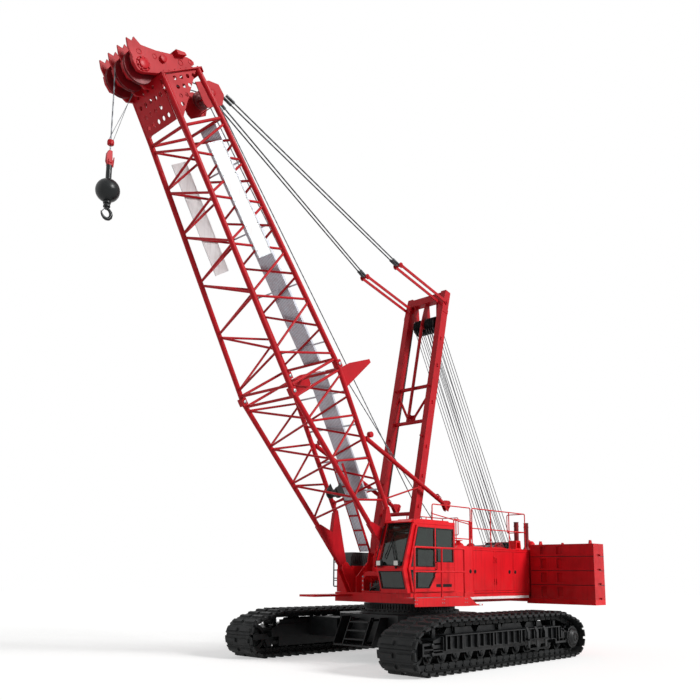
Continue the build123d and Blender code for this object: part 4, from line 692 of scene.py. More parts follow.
def trackRound(arcs):
    total = 0
    for (x, z, r, first, last), (nx, nz, nr, angle, _) in zip(arcs, arcs[1:] + arcs[:1]):
        start = Vector((x + r * cos(last), z + r * sin(last)))
        end = Vector((nx + nr * cos(angle), nz + nr * sin(angle)))
        total += r * (last - first) + (end - start).length
    return total


def shoePart(v):    # one cast shoe: plate with set-back ends, two pads, two drive lugs and a hinge pin
    bm = bmesh.new()
    along = lambda x, z, y: (x, y, z)
    t, half = v["plate"], v["width"] / 2
    addPrism(bm, [(-0.13, -t), (0.13, -t), (0.139, -0.02), (0.127, 0), (-0.127, 0), (-0.139, -0.02)],
            -half + 0.07, half - 0.07, along)
    for side in (-1, 1):
        y = spread(side, half - 0.0701, half)
        addPrism(bm, [(-0.10, -t), (0.085, -t), (0.10, -0.012), (0.03, -0.004), (-0.10, -0.012)], y[0], y[1], along)
        y = spread(side, 0.07, half - 0.09)
        addPrism(bm, [(-0.062, -0.001), (0.062, -0.001), (0.046, v["padHeight"]),
                (-0.046, v["padHeight"])], y[0], y[1], along)
        y = spread(side, 0.165, 0.235)
        addPrism(bm, [(-0.137, -t + 0.001), (0.137, -t + 0.001), (0.137, -0.165), (0.105, -0.197), (-0.105, -0.197),
                (-0.137, -0.165)], y[0], y[1], along)
        addLathe(bm, (0.1477, side * 0.235, -0.1), (0, side, 0), [(0, 0.04), (0.03, 0.04),
                (0.03, 0.02), (0.012, 0.02)], 10)
    addTube(bm, (0.1477, -0.235, -0.1), (0.1477, 0.235, -0.1), 0.034, 10)
    return sparePart("trackShoe", bm)


def makeTracks(v):
    arcs = trackArcs(v)
    pitch = trackRound(arcs) / v["shoes"]
    shoe = shoePart(v)
    for side, name in ((1, "left_track"), (-1, "right_track")):
        points = []
        for i in range(v["shoes"]):
            start, end = trackPlace(arcs, i * pitch), trackPlace(arcs, (i + 1) * pitch)
            runs = (end - start).normalized()
            place = (start + end) / 2 + Vector((0, side * v["gauge"] / 2, 0))
            points.append((place, runs, Vector((runs.z, 0, -runs.x))))
        piece = onPoints("trackShoes" + name.split("_")[0].title(), shoe, points, trackSteel, "undercarriage")
        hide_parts(name)


makeTracks(trackValues)

driveValues = {
    "x": 3.46, "z": 0.57, "radius": 0.325, "inner": 2.985, "outer": 3.33, "ribs": 14, "spokes": 8, "hubY": 2.97,
    "coverBolts": (24, 0.245), "coverFace": 0.259, "hubBolts": (12, 0.10),    # how many, on which radius
    "frontWindow": rect(2.62, 0.46, 3.44, 0.75), "guides": (0.5, 0.7),
    "rearWindow": [(-3.2, 0.43), (-2.55, 0.43), (-2.55, 0.83), (-2.9, 0.83), (-3.2, 0.74)], "plates": (-2.98, -2.76),
}


def makeDrives(v):    # ribbed final drive case behind, idler yoke with its spring guides in front
    for side, word in bothSides:
        bm = bmesh.new()
        r, depth = v["radius"], v["outer"] - v["inner"]
        base = (-v["x"], side * v["inner"], v["z"])
        addLathe(bm, base, (0, side, 0), [(0, r - 0.02), (0.03, r), (0.09, r), (0.1, r - 0.05), (0.2, r - 0.06),
                (0.21, r - 0.02), (0.25, r - 0.02), (0.26, r - 0.09), (depth - 0.02, r - 0.14), (depth, r - 0.18)], 40)
        for a in angles(v["ribs"]):
            addPrism(bm, [(r - 0.09, 0.05), (r - 0.004, 0.05), (r - 0.004, 0.24), (r - 0.03, 0.252),
                    (r - 0.09, 0.252)], -0.009, 0.009, spokePlane(base, a, side))
        finishPiece("finalDrive" + word, bm, chassisBlack, "undercarriage", 2.0)
        bolts = boltCircle((-v["x"], side * (v["inner"] + v["coverFace"]), v["z"]), *v["coverBolts"], side)
        bolts += boltCircle((-v["x"], side * v["outer"], v["z"]), *v["hubBolts"], side)
        onPoints("finalDriveBolts" + word, boltM24, bolts, machineDark, "undercarriage")
        bm = bmesh.new()
        y0, y1 = spread(side, 3.06, 3.2)
        addFrame(bm, v["frontWindow"], grown(v["frontWindow"], -0.055), y0, y1)
        addBlock(bm, (2.66, y0, 0.585), (3.40, y1, 0.625))
        for z in v["guides"]:
            addLathe(bm, (3.1, side * 3.19, z), (0, side, 0), [(0, 0.05), (0.05, 0.05), (0.06, 0.03)], 16)
        addFrame(bm, v["rearWindow"], grown(v["rearWindow"], -0.06), y0, y1)
        for x in v["plates"]:
            addPrism(bm, [(x - 0.015, 0.47), (x + 0.015, 0.47), (x + 0.035, 0.78), (x + 0.005, 0.78)], y0, y1)
        y2, y3 = spread(side, 2.9, 3.1)
        addBlock(bm, (2.60, y2, 0.5), (2.66, y3, 0.72))
        addBlock(bm, (-2.60, y2, 0.5), (-2.54, y3, 0.78))
        finishPiece("idlerYoke" + word, bm, chassisBlack, "undercarriage", 5.0)
        bm = bmesh.new()
        hub = Vector((v["x"], side * v["hubY"], v["z"]))
        addRing(bm, hub, (0, side, 0), [(0, 0.3), (0, 0.24), (0.035, 0.25), (0.035, 0.29)], 48)
        addLathe(bm, hub, (0, side, 0), [(0, 0.15), (0.05, 0.14), (0.06, 0.08), (0.07, 0.08)], 24)
        for a in angles(v["spokes"], 0.5):
            addPrism(bm, [(0.12, 0.0), (0.26, 0.0), (0.26, 0.03), (0.12, 0.045)], -0.016, 0.016,
                    spokePlane(hub, a, side))
        finishPiece("idlerSpokes" + word, bm, trackSteel, "undercarriage", 2.0)


makeDrives(driveValues)

frameTrimValues = {
    "ribs": 21, "reach": 2.75, "wall": 3.2, "head": 0.88, "rollers": 12, "rollerReach": 2.989, "rollerY": 3.025,
    "rollerZ": 0.37, "skids": ((-2.3, -1.35), (-1.25, -0.15), (-0.05, 0.95), (1.05, 2.3)),
    "stepXs": (-0.98, -1.42, -1.86), "treadZs": (0.38, 0.62),
}


def makeTrackFrameTrim(v):    # ribs, skid boxes, roller end caps and climbing steps on each track frame
    cap = bmesh.new()
    addLathe(cap, (0, 0, 0), (0, 0, 1), [(0, 0.075), (0.012, 0.075), (0.02, 0.05), (0.034, 0.045)], 16)
    cap = sparePart("rollerCap", cap)
    for side, word in bothSides:
        bm = bmesh.new()
        for i in range(v["ribs"]):
            x = -v["reach"] + 2 * v["reach"] * i / (v["ribs"] - 1)
            addPrism(bm, rect(x - 0.009, v["head"] - 0.3, x + 0.009, v["head"]),
                    *spread(side, v["wall"] - 0.002, v["wall"] + 0.075))
        addPrism(bm, rect(-2.68, 0.885, 2.68, 0.91), *spread(side, 2.5, 3.285))
        for x0, x1 in v["skids"]:    # between the carrier rollers
            addPrism(bm, [(x0, 0.895), (x1, 0.895), (x1 - 0.12, 1.05), (x0 + 0.12, 1.05)], *spread(side, 2.70, 2.94))
        addPrism(bm, rect(-2.75, 0.30, 2.75, 1.03), *spread(side, 2.475, 2.49))
        finishPiece("frameRibs" + word, bm, chassisBlack, "undercarriage", 3.0)
        bm = bmesh.new()
        for x in v["stepXs"]:
            addPrism(bm, [(x - 0.05, 0.34), (x + 0.05, 0.34), (x + 0.05, 0.80), (x + 0.16, 0.95), (x + 0.06, 0.95),
                    (x - 0.05, 0.84)], *spread(side, 3.28, 3.30))
            y0, y1 = spread(side, 3.2, 3.29)
            addBlock(bm, (x - 0.05, y0, 0.60), (x + 0.05, y1, 0.66))
        for z in v["treadZs"]:
            addFrame(bm, rect(-1.92, z - 0.02, -0.92, z + 0.02), rect(-1.9, z - 0.008, -0.94, z + 0.008),
                    *spread(side, 3.298, 3.36))
        finishPiece("trackSteps" + word, bm, chassisBlack, "undercarriage", 2.0)
        reach, count = v["rollerReach"], v["rollers"]
        points = [((-reach + 2 * reach * i / (count - 1), side * v["rollerY"], v["rollerZ"]), (1, 0, 0),
                (0, side, 0)) for i in range(count)]
        onPoints("rollerCaps" + word, cap, points, trackSteel, "undercarriage")


makeTrackFrameTrim(frameTrimValues)

slewValues = {"teeth": 96, "toothRadius": 1.262, "low": 1.36, "high": 1.50, "bolts": 60,
        "boltRadius": 1.39, "deckZ": 1.30}


def makeSlewTrim(v):    # gear teeth round the slewing ring and its bolts on the carbody
    bm = bmesh.new()
    addPrism(bm, [(-0.024, 0), (0.024, 0), (0.011, 0.036), (-0.011, 0.036)], v["low"], v["high"],
            lambda y, x, z: (x, y, z))
    rows = (("slewTeeth", sparePart("ringTooth", bm), v["teeth"], v["toothRadius"], 0, 0.0),
            ("slewBolts", boltM36, v["bolts"], v["boltRadius"], v["deckZ"], 0.5))
    for name, part, count, radius, z, shift in rows:
        points = [((radius * cos(a), radius * sin(a), z), (cos(a), sin(a), 0), (0, 0, 1))
                for a in angles(count, shift)]
        onPoints(name, part, points, machineDark, "undercarriage")


makeSlewTrim(slewValues)
print("undercarriage dressed")


latchValues = {"z": 2.40, "radius": 0.055, "doors": {"engine_door_1": -0.93, "engine_door_2": -2.72,
        "engine_door_3": -3.04}, "posts": {"left": (-0.36, 1.89), "right": (-0.62, 1.65)}, "wall": 1.65}


def makeLatches(v):    # round black slam latches with a paddle, one on each door and one on each front post
    z = v["z"]
    for side, word in ((1, "left"), (-1, "right")):
        places = dict({word + "_" + name: x for name, x in v["doors"].items()}, house=v["posts"][word][0])
        for body, x in places.items():
            bm = bmesh.new()
            wall = v["posts"][word][1] if body == "house" else v["wall"]
            base = (x, side * (wall - 0.001), z)
            r = v["radius"]
            addLathe(bm, base, (0, side, 0), [(0, r), (0.008, r), (0.013, r - 0.012), (0.004, r - 0.02)], 28)
            addPrism(bm, [(x - 0.012, z - 0.036), (x + 0.012, z - 0.036), (x + 0.016, z + 0.036),
                    (x - 0.016, z + 0.036)], *spread(side, wall + 0.002, wall + 0.018))
            finishPiece("latch_" + word + "_" + body, bm, windowRubber, body, 1.5)


makeLatches(latchValues)

sillValues = {"low": 1.628, "high": 1.70, "wall": 1.65, "runs": ((-0.50, -0.62), (-0.68, -3.78)),
        "drips": (3.06, 3.085, 1.80, 1.822), "dripRun": (-5.2, -0.45)}


def makeSillTrim(v):    # white stripe along each sill, and the drip edges over and under the doors
    for side, word in bothSides:
        bm = bmesh.new()
        y0, y1 = spread(side, v["wall"] - 0.001, v["wall"] + 0.003)
        for front, rear in v["runs"]:
            addBlock(bm, (rear, y0, v["low"]), (front, y1, v["high"]))
        finishPiece("sillStripe" + word, bm, stripePaint, "house", 0.5)
        bm = bmesh.new()
        (rear, front), y = v["dripRun"], spread(side, v["wall"] - 0.001, v["wall"] + 0.012)
        for low, high in (v["drips"][:2], v["drips"][2:]):
            addPrism(bm, rect(rear, low, front, high), *y)
        finishPiece("wallTrim" + word, bm, craneRedEnamel, "house", 2.0)


makeSillTrim(sillValues)

noseValues = {"front": 1.514, "half": 0.50, "low": 1.802, "high": 2.38, "pipes": 6, "pipeRadius": 0.017, "valves": 5,
        "fins": 9, "boltZs": (1.88, 2.0, 2.12, 2.24)}


def makeNose(v):    # guard plate between the boom feet, its valve block, and the steel pipes that run to the cab
    bm = bmesh.new()
    x, half, low, high = v["front"] - 0.06, v["half"], v["low"], v["high"]
    facing = lambda y, z, h: Vector((h, y, z))
    outline = [(-half, low), (half, low), (half, high - 0.14), (half - 0.16, high),
            (-half + 0.16, high), (-half, high - 0.14)]
    recess = [(-half + 0.10, low + 0.05), (half - 0.10, low + 0.05), (half - 0.10, high - 0.2),
            (half - 0.2, high - 0.12), (-half + 0.2, high - 0.12), (-half + 0.10, high - 0.2)]
    addFrame(bm, outline, recess, x, x + 0.014, facing)
    addFrame(bm, grown(recess, 0.018), recess, x + 0.0141, x + 0.05, facing)
    for y in (-half, -half + 0.34, half - 0.34, half):
        addPrism(bm, [(x - 0.34, low), (x - 0.0005, low), (x - 0.0005, high - 0.16),
                (x - 0.05, high - 0.16)], y - 0.006, y + 0.006)
    addPrism(bm, [(x - 0.45, 2.02), (x - 0.43, 2.02), (x - 0.02, high - 0.03), (x - 0.02, high - 0.01),
            (x - 0.06, high - 0.01)], -half + 0.01, half - 0.01)
    finishPiece("noseGuard", bm, craneRedEnamel, "house", 2.0)
    bm = bmesh.new()
    addBlock(bm, (x - 0.16, -0.26, low), (x - 0.05, 0.30, low + 0.26))
    for i in range(v["valves"]):
        addLathe(bm, (x - 0.105, -0.18 + 0.095 * i, low + 0.259), (0, 0, 1),
                [(0, 0.03), (0.05, 0.03), (0.055, 0.018), (0.09, 0.016)], 14)
    addPrism(bm, [(0.22, 2.541), (1.24, 2.541), (1.24, 2.80), (1.12, 2.93), (0.30, 2.93), (0.22, 2.85)], -1.60, -1.15)
    for i in range(v["fins"]):
        addPrism(bm, [(0.36 + 0.09 * i, 2.60), (0.39 + 0.09 * i, 2.60), (0.42 + 0.09 * i, 2.84),
                (0.39 + 0.09 * i, 2.84)], -1.151, -1.135)
    finishPiece("valveBlock", bm, machineDark, "house", 4.0)
    bm = bmesh.new()
    for i in range(v["pipes"]):
        y, lift = -0.20 + 0.08 * i, low + 0.05 + 0.032 * i
        addBentTube(bm, [(x - 0.06, y, lift), (x + 0.05 + 0.012 * i, y + 0.02, lift),
                (x + 0.16 + 0.02 * i, y + 0.25, lift + 0.12), (x + 0.20 + 0.03 * i, 0.80, lift + 0.03),
                (x + 0.10 + 0.03 * i, 1.055, 1.86 + 0.03 * i)], v["pipeRadius"], 0.11)
    finishPiece("nosePipes", bm, machineDark, "house")
    bolts = [((x + 0.0145, y, z), (0, 1, 0), (1, 0, 0)) for y in (-half + 0.05, half - 0.05) for z in v["boltZs"]]
    onPoints("noseBolts", boltM24, bolts, galvanised, "house")


makeNose(noseValues)

stepValues = {"foot": (2.37, 0.43), "top": (2.05, 1.17), "back": 1.7504, "half": 0.36, "treads": (0.62, 0.84, 1.06),
        "bars": (0.25, 0.5, 0.75), "stays": (0.52, 1.10)}


def makeStep(v):    # open raked boarding steps in front of and behind the carbody, on a closed toe box
    half, back = v["half"], v["back"]
    bm = bmesh.new()
    (xf, zf), (xt, zt) = v["foot"], v["top"]
    for end in (1, -1):
        for y in (-half, half):
            side = [(xf - 0.10, zf), (xf, zf), (xf, zf + 0.07), (xt, zt), (xt - 0.14, zt), (xt - 0.14, zt - 0.08)]
            addPrism(bm, [(end * px, pz) for px, pz in side], y - 0.012, y + 0.012)
        for z in v["treads"]:
            x = xf + (xt - xf) * (z - zf) / (zt - zf) - 0.13
            x0, x1 = spread(end, x, x + 0.17)
            addFrame(bm, rect(x0, -half + 0.0121, x1, half - 0.0121), rect(x0 + 0.012, -half + 0.024, x1 - 0.012,
                    half - 0.024), z - 0.035, z, lambda px, y, pz: Vector((px, y, pz)))
            for share in v["bars"]:
                addBlock(bm, (x0 + (x1 - x0) * share - 0.005, -half + 0.02, z - 0.03),
                        (x0 + (x1 - x0) * share + 0.005, half - 0.02, z - 0.002))
        for y in (-half, half):
            for z in v["stays"]:
                x0, x1 = sorted((end * back, end * (xf + (xt - xf) * (z - zf) / (zt - zf) - 0.08)))
                addBlock(bm, (x0, y - 0.03, z - 0.03), (x1, y + 0.03, z + 0.03))
        x0, x1 = spread(end, back, xf)
        addBlock(bm, (x0, -0.70, 0.43), (x1, 0.70, 0.4696))
        for y in (-0.70, 0.685):
            addPrism(bm, [(end * back, 0.469), (end * xf, 0.469), (end * xf, 0.52), (end * (back + 0.3), 1.18),
                    (end * back, 1.18)], y, y + 0.015)
    piece = finishPiece("boardingSteps", bm, chassisBlack, "undercarriage", 3.0)
    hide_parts("carbody_steps")


makeStep(stepValues)

roofValues = {
    "z": 3.09, "hatches": ((-1.25, 1.1), (-2.45, 1.1), (-1.25, -1.1), (-2.45, -1.1)), "size": (0.9, 0.66),
    "exhausts": ((-4.3, 0.95), (-4.9, 0.95)), "mouth": 3.98, "capZ": 3.99, "capRadius": 0.085,
}


def makeRoofTrim(v):    # lift-off hatches with handles, louvres, and caps and clamps on the exhausts
    roof = v["z"]
    bm = bmesh.new()
    for x, y in v["hatches"]:
        a, b = v["size"][0] / 2, v["size"][1] / 2
        addPrism(bm, [(x - a, roof - 0.002), (x + a, roof - 0.002), (x + a - 0.015, roof + 0.035),
                (x - a + 0.015, roof + 0.035)], y - b, y + b)
        for end in (-1, 1):
            addBentTube(bm, [(x + end * 0.3, y - 0.08, roof + 0.03), (x + end * 0.3, y - 0.08, roof + 0.10),
                    (x + end * 0.3, y + 0.08, roof + 0.10), (x + end * 0.3, y + 0.08, roof + 0.03)], 0.008, 0.03)
    finishPiece("roofHatches", bm, craneRedEnamel, "house", 3.0)
    for side, word in bothSides:
        growPiece("rearLouvre" + word, barRow, {"Count": 15, "From": (-5.214, side * 1.215, 2.05),
                "To": (-5.214, side * 1.215, 2.92), "Bar": (0.03, 0.7, 0.009), "Tilt": (0.0, 0.6, 0.0)},
                craneRedEnamel, "house")
        growPiece("roofLouvre" + word, barRow, {"Count": 16, "From": (-3.3, side * 1.1, 3.10),
                "To": (-4.05, side * 1.1, 3.10), "Bar": (0.03, 0.62, 0.008), "Tilt": (0.0, -0.7, 0.0)}, machineDark,
                "house")
    bm = bmesh.new()
    radius = v["capRadius"]
    for x, y in v["exhausts"]:
        addRing(bm, (x, y, v["mouth"]), (0, 0, 1), [(-0.14, 0.075), (-0.14, 0.082), (-0.1, 0.082), (-0.1, 0.075)], 28)
        addRing(bm, (x, y, 3.12), (0, 0, 1), [(-0.03, 0.073), (-0.03, 0.13), (0.01, 0.12),
                (0.1, 0.078), (0.1, 0.073)], 28)
        turn = lambda u, w, h, px=x, py=y: Vector((px + u, py + h, v["capZ"] + w))
        for i in range(12):    # the cap is cut into strips
            a, b = (pi * k / 12 for k in (i, i + 1))
            reach = radius * sin((a + b) / 2)
            addPrism(bm, rect(radius * cos(a), 0.0, radius * cos(b), 0.006), -reach, reach, turn)
    finishPiece("exhaustTrim", bm, exhaustSteel, "house")
    bm = bmesh.new()    # pressed cover with a flat filler disc, and the open-fronted box behind the doors
    addLathe(bm, (-1.12, 0.95, roof - 0.001), (0, 0, 1), [(0, 0.17), (0.05, 0.165), (0.11, 0.13), (0.14, 0.09),
            (0.15, 0.06), (0.19, 0.06), (0.195, 0.12), (0.215, 0.12), (0.22, 0.08)], 32)
    addFrame(bm, [(-3.64, roof - 0.001), (-3.32, roof - 0.001), (-3.36, 3.36), (-3.60, 3.36)],
            [(-3.58, 3.13), (-3.38, 3.13), (-3.40, 3.30), (-3.56, 3.30)], 1.26, 1.52)
    addBlock(bm, (-3.59, 1.38, 3.12), (-3.37, 1.39, 3.31))
    finishPiece("roofCovers", bm, craneRedEnamel, "house", 4.0)


makeRoofTrim(roofValues)
print("house dressed")


cabValues = {
    "outer": 1.95, "inner": 1.07, "doorFace": 1.996,
    "doorUpper": [(1.40, 2.52), (2.33, 2.52), (2.06, 3.49), (1.40, 3.49)],
    "doorLower": [(1.62, 1.98), (2.24, 1.98), (2.35, 2.40), (1.40, 2.40), (1.40, 2.25)],
    "rearSide": rect(0.52, 2.65, 1.25, 3.49),
    "sill": (2.62, 2.44), "top": (2.19, 3.69), "chin": (2.44, 1.84),
}


def slopePlane(low, high):    # a place on a raked front: u across, w up the slope, h out of the face
    low, high = Vector((low[0], 0, low[1])), Vector((high[0], 0, high[1]))
    up = (high - low).normalized()
    out = Vector((up.z, 0, -up.x))
    return lambda u, w, h: low + up * w + out * h + Vector((0, u, 0))


def makeCabTrim(v):    # rubber round every window, the door handle, the folds of the cab's body and its vent
    outer, inner, face = v["outer"], v["inner"], v["doorFace"]
    bm = bmesh.new()
    for outline in (v["doorUpper"], v["doorLower"]):
        addFrame(bm, grown(outline, 0.022), grown(outline, -0.004), face - 0.002, face + 0.006)
    finishPiece("doorGaskets", bm, windowRubber, "cab_door", 1.0)
    bm = bmesh.new()
    addBentTube(bm, [(1.352, face - 0.004, 2.44), (1.352, face + 0.045, 2.44), (1.352, face + 0.045, 2.62),
            (1.352, face - 0.004, 2.62)], 0.011, 0.03)
    addBlock(bm, (1.335, face - 0.002, 2.34), (1.375, face + 0.012, 2.41))
    finishPiece("doorHandle", bm, windowRubber, "cab_door", 1.5)
    bm = bmesh.new()
    addFrame(bm, grown(v["rearSide"], 0.022), grown(v["rearSide"], -0.004), outer - 0.002, outer + 0.004)
    low, high = inner + 0.07, outer - 0.07
    for first, second, reach in ((v["sill"], v["top"], (0.075, 0.925)), (v["chin"], v["sill"], (0.2, 0.88))):
        place = slopePlane(first, second)
        length = hypot(second[0] - first[0], second[1] - first[1])
        hole = rect(low, reach[0] * length, high, reach[1] * length)
        addFrame(bm, grown(hole, 0.02), grown(hole, -0.006), -0.002, 0.007, place)
    finishPiece("cabGaskets", bm, windowRubber, "house", 1.0)
    bm = bmesh.new()    # roof gutter, eyebrow over the windscreen and a stiffening fold along the flank
    addPrism(bm, rect(0.44, 3.60, 2.20, 3.63), outer - 0.001, outer + 0.012)
    addPrism(bm, [(2.14, 3.64), (2.33, 3.61), (2.35, 3.625), (2.19, 3.69), (2.14, 3.69)], inner + 0.02, outer - 0.02)
    addPrism(bm, [(0.50, 3.69), (1.95, 3.69), (1.90, 3.735), (0.55, 3.735)], inner + 0.12, outer - 0.12)
    addPrism(bm, rect(0.43, 2.50, 1.29, 2.53), outer - 0.001, outer + 0.005)
    addPrism(bm, rect(0.44, 1.86, 0.47, 3.58), outer - 0.001, outer + 0.006)
    finishPiece("cabBodyFolds", bm, craneRedEnamel, "house", 3.0)
    bm = bmesh.new()
    addFrame(bm, rect(0.60, 1.985, 1.31, 2.065), rect(0.612, 1.995, 1.298, 2.055), outer - 0.002, outer + 0.004)
    addBlock(bm, (0.612, outer - 0.002, 1.994), (1.298, outer + 0.001, 2.056))
    finishPiece("ventFrame", bm, windowRubber, "house", 1.0)
    growPiece("ventSlats", barRow, {"Count": 4, "From": (0.955, outer + 0.001, 2.004),
            "To": (0.955, outer + 0.001, 2.046), "Bar": (0.68, 0.006, 0.003),
            "Tilt": (0.7, 0.0, 0.0)}, windowRubber, "house")


makeCabTrim(cabValues)

frontValues = {
    "lampY": (1.19, 1.77), "lampZ": 2.585, "lampX": 2.60,
    # across, up the pane
    "wiper": ((1.72, 0.03), (1.38, 0.80)), "link": ((1.72, 0.10), (1.42, 0.80)), "bladeMiddle": 0.62,
    "rail": (1.05, 0.05, 1.15), "antenna": ((0.62, 1.3, 3.69), (0.62, 1.3, 3.95), (0.62, 1.34, 4.15)),
}


def makeCabFront(v):    # work lamps, wiper, grab rail and antenna
    bm, lens = bmesh.new(), bmesh.new()
    for y in v["lampY"]:
        x, z = v["lampX"], v["lampZ"]
        addBlock(bm, (x - 0.02, y - 0.07, z - 0.065), (x + 0.085, y + 0.07, z + 0.065))
        addBentTube(bm, [(x + 0.03, y - 0.078, z), (x + 0.03, y - 0.078, z - 0.10), (x + 0.03, y + 0.078, z - 0.10),
                (x + 0.03, y + 0.078, z)], 0.008, 0.03)
        addBlock(lens, (x + 0.086, y - 0.062, z - 0.057), (x + 0.094, y + 0.062, z + 0.057))
    finishPiece("lampBodies", bm, windowRubber, "house", 4.0)
    finishPiece("lampLenses", lens, lampLens, "house", 2.0)
    place = slopePlane(cabValues["sill"], cabValues["top"])
    bm = bmesh.new()
    foot, tip = v["wiper"]
    addLathe(bm, place(*foot, 0.0), place(0, 0, 1) - place(0, 0, 0), [(0, 0.03), (0.03, 0.026), (0.04, 0.012)], 16)
    for (first, last), radius in ((v["wiper"], 0.009), (v["link"], 0.006)):
        addTube(bm, place(*first, 0.035), place(*last, 0.03), radius, 8)
    blade = lambda u, w, h: place(tip[0] + u, v["bladeMiddle"] + w, h)
    addPrism(bm, [(-0.10, -0.34), (-0.088, -0.34), (0.05, 0.36), (0.038, 0.36)], 0.009, 0.028, blade)
    across, low, high = v["rail"]
    addBentTube(bm, [place(across, w, h) for w, h in ((low, 0.01), (low, 0.06), (high, 0.06), (high, 0.01))], 0.012,
            0.05)
    finishPiece("wiper", bm, windowRubber, "house", 0.0)
    bm = bmesh.new()
    addBentTube(bm, v["antenna"], 0.007, 0.05)
    finishPiece("cabAntenna", bm, windowRubber, "house")


makeCabFront(frontValues)

interiorValues = {"floorZ": 1.886, "y": 1.51, "leverY": 0.30, "pedalYs": (-0.22, 0.22)}


def makeCabInterior(v):    # consoles with levers, instrument box, pedals and a floor mat
    bm = bmesh.new()
    z, y = v["floorZ"], v["y"]
    for side in (-1, 1):
        yc = y + side * v["leverY"]
        addPrism(bm, [(1.12, z + 0.62), (1.50, z + 0.62), (1.58, z + 0.70), (1.50, z + 0.76),
                (1.12, z + 0.70)], yc - 0.05, yc + 0.05)
        addBentTube(bm, [(1.50, yc, z + 0.72), (1.50, yc, z + 0.85), (1.52, yc, z + 0.95)], 0.012, 0.03)
        addLathe(bm, (1.52, yc, z + 0.93), (0.1, 0, 1), [(0, 0.02), (0.04, 0.028), (0.10, 0.024), (0.115, 0)], 12)
    addPrism(bm, [(2.05, z), (2.22, z), (2.42, z + 0.55), (2.40, z + 0.74), (2.22, z + 0.72),
            (2.12, z + 0.5)], y - 0.16, y + 0.16)
    addPrism(bm, [(2.16, z + 0.74), (2.20, z + 0.73), (2.30, z + 0.98), (2.26, z + 1.0)], y - 0.30, y - 0.02)
    addPrism(bm, [(0.50, z), (0.84, z), (0.80, z + 0.55), (0.50, z + 0.60)], y - 0.36, y + 0.36)
    for dy in v["pedalYs"]:
        addPrism(bm, [(1.92, z + 0.02), (1.99, z + 0.16), (2.02, z + 0.15), (1.95, z + 0.01)],
                y + dy - 0.05, y + dy + 0.05)
    addBlock(bm, (0.48, 1.13, z - 0.0005), (2.30, 1.89, z + 0.008))
    finishPiece("cabControls", bm, cabTrim, "house", 8.0)


makeCabInterior(interiorValues)

seatValues = {
    "y": 1.51, "floor": 1.8853, "crown": 0.012, "pinch": 0.05, "lean": -96.3,
    "cushions": {    # half length and width, thickness, place in x and above the floor, upright or flat
        "seatCushion": ((0.255, 0.235), 0.11, (1.25, 0.40), False),
        "backCushion": ((0.33, 0.215), 0.10, (0.955, 0.775), True),
        "headCushion": ((0.085, 0.13), 0.07, (0.895, 1.07), True),
    },
}


def cushionMesh(half, thick, crown, pinch):    # a crowned pad whose sides pull in between its corners
    bm = bmesh.new()
    steps = 14
    rows = []
    for layer in (1, -1):
        grid = []
        for i in range(steps + 1):
            line = []
            for j in range(steps + 1):
                u, w = i / steps * 2 - 1, j / steps * 2 - 1
                pull = 1 - pinch * (1 - w * w) * abs(u) ** 6
                side = 1 - pinch * (1 - u * u) * abs(w) ** 6
                dome = (1 - abs(u) ** 4) * (1 - abs(w) ** 4)
                groove = 1 - 0.22 * exp(-((abs(u) - 0.45) / 0.05) ** 2)
                height = thick * 0.22 + thick * 0.28 * dome ** 0.5 * groove + crown * dome
                line.append(bm.verts.new((u * half[0] * pull, w * half[1] * side, layer * height)))
            grid.append(line)
        rows.append(grid)
    for grid in rows:
        for i in range(steps):
            for j in range(steps):
                bm.faces.new((grid[i][j], grid[i + 1][j], grid[i + 1][j + 1], grid[i][j + 1]))
    rim = [(i, 0) for i in range(steps)] + [(steps, j) for j in range(steps)]
    rim += [(i, steps) for i in range(steps, 0, -1)] + [(0, j) for j in range(steps, 0, -1)]
    for (i, j), (k, l) in zip(rim, rim[1:] + rim[:1]):
        bm.faces.new((rows[0][i][j], rows[0][k][l], rows[1][k][l], rows[1][i][j]))
    joins = [e for e in bm.edges if len({v.co.z > 0 for v in e.verts}) == 2]
    bmesh.ops.subdivide_edges(bm, edges=joins, cuts=2)
    bmesh.ops.recalc_face_normals(bm, faces=bm.faces)
    return bm


def makeSeat(v):    # sewn vinyl cushions on the seat pan, and its shell
    floor, y = v["floor"], v["y"]
    for name, (half, thick, (x, lift), leaning) in v["cushions"].items():
        turn = Matrix.Translation((x, y, floor + lift))
        if leaning:
            turn = turn @ Matrix.Rotation(radians(v["lean"]), 4, "Y")
        bm = cushionMesh(half, thick, v["crown"], v["pinch"])
        bmesh.ops.transform(bm, matrix=turn, verts=bm.verts)
        piece = finishPiece(name, bm, seatVinyl, "house", 0.0, 60.0)
    bm = bmesh.new()
    addBlock(bm, (1.08, y - 0.15, floor), (1.38, y + 0.15, floor + 0.05))
    addPrism(bm, [(1.14, floor + 0.05), (1.32, floor + 0.05), (1.38, floor + 0.30),
            (1.08, floor + 0.30)], y - 0.12, y + 0.12)
    addPrism(bm, [(1.02, floor + 0.30), (1.48, floor + 0.30), (1.50, floor + 0.345),
            (1.00, floor + 0.345)], y - 0.22, y + 0.22)
    addPrism(bm, [(0.92, floor + 0.36), (0.965, floor + 0.36), (0.90, floor + 1.05),
            (0.862, floor + 1.05)], y - 0.18, y + 0.18)
    for side in (-1, 1):
        yc = y + side * 0.30
        addPrism(bm, rect(1.02, floor + 0.50, 1.16, floor + 0.60), yc - 0.04, yc + 0.04)
    frameSeat = finishPiece("seatFrame", bm, cabTrim, "house", 8.0)
    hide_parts("operator_seat")


makeSeat(seatValues)

walkValues = {
    "rear": 0.50, "front": 2.74, "inner": 2.01, "outer": 2.41, "z": 1.7397, "railY": 2.38, "railTop": 2.9747,
    "midRail": 2.38, "posts": (0.62, 1.60, 2.70), "arms": (0.62, 1.90), "stepYs": (1.97, 2.36), "bars": 60, "ties": 7,
}


